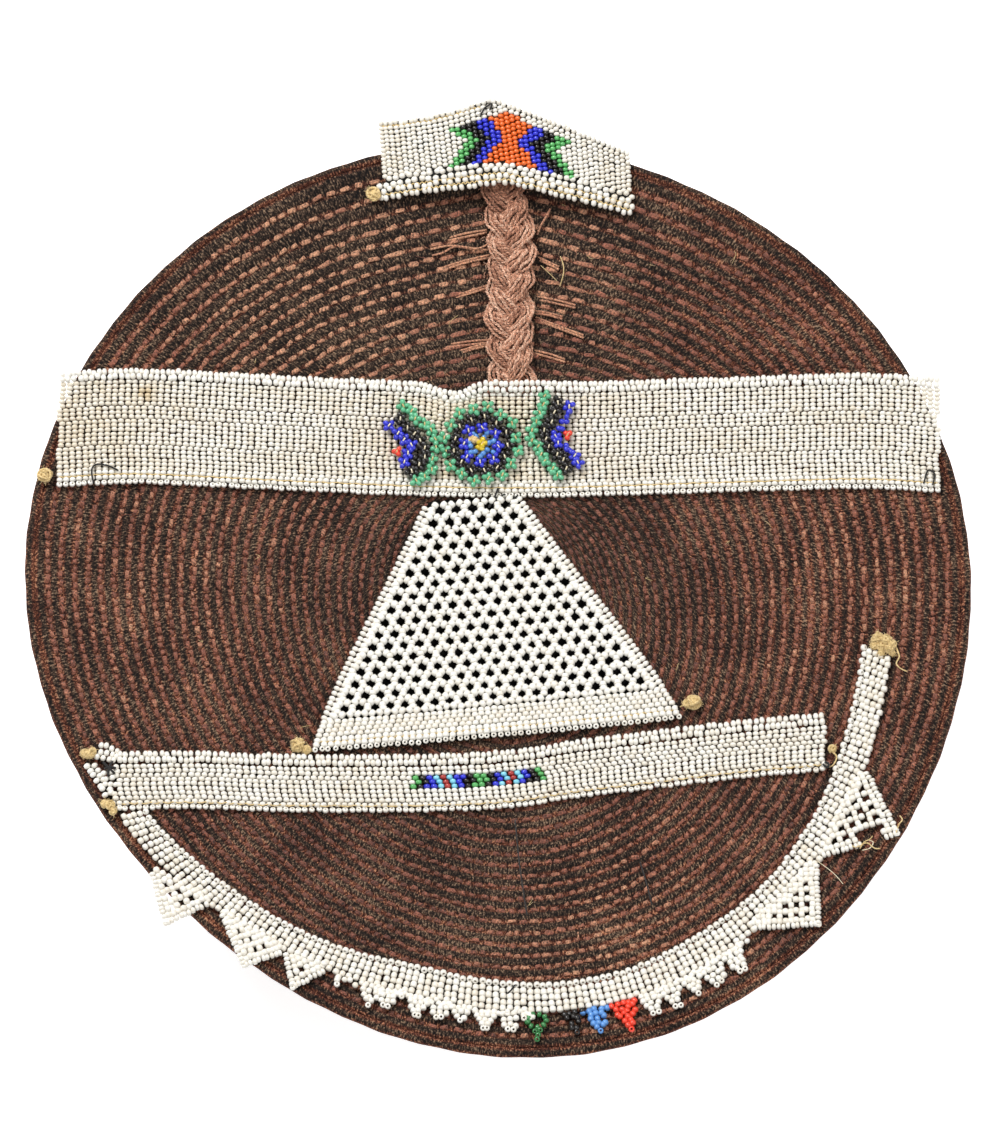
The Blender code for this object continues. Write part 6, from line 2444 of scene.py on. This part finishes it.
@dataclass
class Studio:
    """The floor, the soft lights and the camera."""

    elevation: float = math.radians(73.0)
    distance: float = 2.0
    view_height: float = 0.518
    aim: tuple[float, float, float] = (-0.3 * MM, 3.9 * MM, 140 * MM)

    def build(self) -> None:
        """Sets up the studio."""
        self.floor()
        self.light()
        self.camera()

    def floor(self) -> None:
        """Lays the pale floor."""
        mesh = bpy.data.meshes.new("studio_floor")
        size = 6
        mesh.from_pydata(
            [(-size, -size, 0), (size, -size, 0), (size, size, 0), (-size, size, 0)], [], [(0, 1, 2, 3)]
        )
        floor = bpy.data.objects.new("studio_floor", mesh)
        bpy.context.scene.collection.objects.link(floor)
        material, add = new_material("matt_white_paper")
        glow = {"Emission Color": linear("#FFFFFF"), "Emission Strength": 0.6}
        add(SHADER, {"Base Color": linear("#FAFAFA"), "Roughness": 0.9, **glow})
        mesh.materials.append(material)

    def light(self) -> None:
        """Sets the pale surround and the large soft lights."""
        world = bpy.data.worlds.new("studio")
        bpy.context.scene.world = world
        world.use_nodes = True
        surround = world.node_tree.nodes["Background"].inputs
        surround["Color"].default_value, surround["Strength"].default_value = linear("#FFFFFF"), 0.5
        bpy.context.scene.view_settings.view_transform = "Standard"
        for name, place, size, power in (
            ("key_light", (-0.75, 1.05, 1.75), 0.8, 44), ("fill_light", (1.2, -0.6, 1.6), 1.6, 14)
        ):
            lamp = bpy.data.lights.new(name, "AREA")
            lamp.size = size
            lamp.energy = power
            source = bpy.data.objects.new(name, lamp)
            bpy.context.scene.collection.objects.link(source)
            source.location = place
            source.rotation_euler = (Vector((0, 0, 0.1)) - Vector(place)).to_track_quat("-Z", "Y").to_euler()

    def camera(self) -> None:
        """Sets the camera at the photograph's angle."""
        lens = bpy.data.cameras.new("camera")
        lens.sensor_fit = "VERTICAL"
        lens.sensor_height = 36
        lens.lens = 36 * self.distance / self.view_height
        camera = bpy.data.objects.new("camera", lens)
        bpy.context.scene.collection.objects.link(camera)
        aim = Vector(self.aim) + Vector((*HAT.middle, 0))
        back = Vector((0, -math.cos(self.elevation), math.sin(self.elevation)))
        camera.location = aim + back * self.distance
        camera.rotation_euler = (-back).to_track_quat("-Z", "Y").to_euler()
        bpy.context.scene.camera = camera


def hidden_by_beads(
    band: WideBand, net: NettedPanel, narrow: NarrowBand, collar: Collar, panel: BackPanel
) -> Surface:
    """Makes the test for plan places that beadwork or the seam cord covers.

    Args:
        band: The wide band.
        net: The netted panel.
        narrow: The narrow band.
        collar: The collar.
        panel: The back panel.

    Returns:
        A function of x and y.
    """
    shares = np.linspace(0, 1, 400)
    wide_line, narrow_line = band.place(shares, 0), narrow.place(shares, 0)

    def hidden(x: Array, y: Array) -> Array:
        """True where a stitch can't be seen.

        Args:
            x: Plan places to the right of the middle of the rim.
            y: Plan places behind it.

        Returns:
            True where it is covered.
        """
        under_wide = np.abs(y - np.interp(x, wide_line[:, 0], wide_line[:, 1])) < 0.5 * band.width - 3 * MM
        back = np.interp(x, narrow_line[:, 0], narrow_line[:, 1])
        inside = (x > narrow_line[0, 0] + 4 * MM) & (x < narrow_line[-1, 0] - 3 * MM)
        under_narrow = inside & (y < back - 3 * MM) & (y > back - narrow.width + 3 * MM)
        net_side, net_top, net_base = net.inside(x, y)
        under_net = (net_top > -2 * MM) & (net_base > 0) & (net_side > 3 * MM)
        degrees = np.degrees(np.arctan2(y, x)) % 360
        out = np.hypot(x, y) - collar.radius_at(degrees)
        under_collar = (degrees > 218) & (degrees < 349) & (out > 2.5 * MM) & (out < 9.5 * MM)
        cord = (np.abs(x - 3 * MM) < 9 * MM) & (y > 95 * MM)
        low = np.array(panel.inner) * HAT.rim_radius
        under_panel = (x > low[0, 0] + 4 * MM) & (x < low[-1, 0] - 4 * MM)
        under_panel &= y > np.interp(x, low[:, 0], low[:, 1]) + 4 * MM
        return under_wide | under_narrow | under_net | under_collar | cord | under_panel

    return hidden


def main() -> None:
    """Builds the hat's looks piece by piece."""
    logging.basicConfig(level=logging.INFO, format="%(name)s: %(message)s")
    Studio().build()
    shop = Workshop()
    band = WideBand(shop)
    net, narrow, collar, panel = NettedPanel(shop, band), NarrowBand(shop), Collar(shop), BackPanel(shop)
    QuiltedTop(shop, net.shade).build()
    TopStitching(shop, hidden_by_beads(band, net, narrow, collar, panel)).build()
    for piece in (SideCloth(shop), RimRoll(shop), SeamBraid(shop), band):
        piece.build()
    for place, rosettes in (("whole", WHOLE_FLOWER), ("left", LEFT_FLOWER), ("right", RIGHT_FLOWER)):
        node = "whole_flower" if place == "whole" else place + "_half_flower"
        BeadFlower(shop, place + "_bead_flower", node, rosettes, band, 131 + len(rosettes)).build()
    for beadwork in (net, narrow, collar):
        beadwork.build()
    for number, (name, x, y, counts, colour) in enumerate(COLOURED_POINTS):
        ColouredPoint(shop, name, (x, y), counts, colour, collar, 141 + number).build()
    panel.build()
    for number, (node, tail, lumps) in enumerate(KNOTS):
        ThreadKnot(shop, node, tail, lumps, 0.72 if lumps == TASSEL else 1, 151 + number).build()


if __name__ == "__main__":
    main()
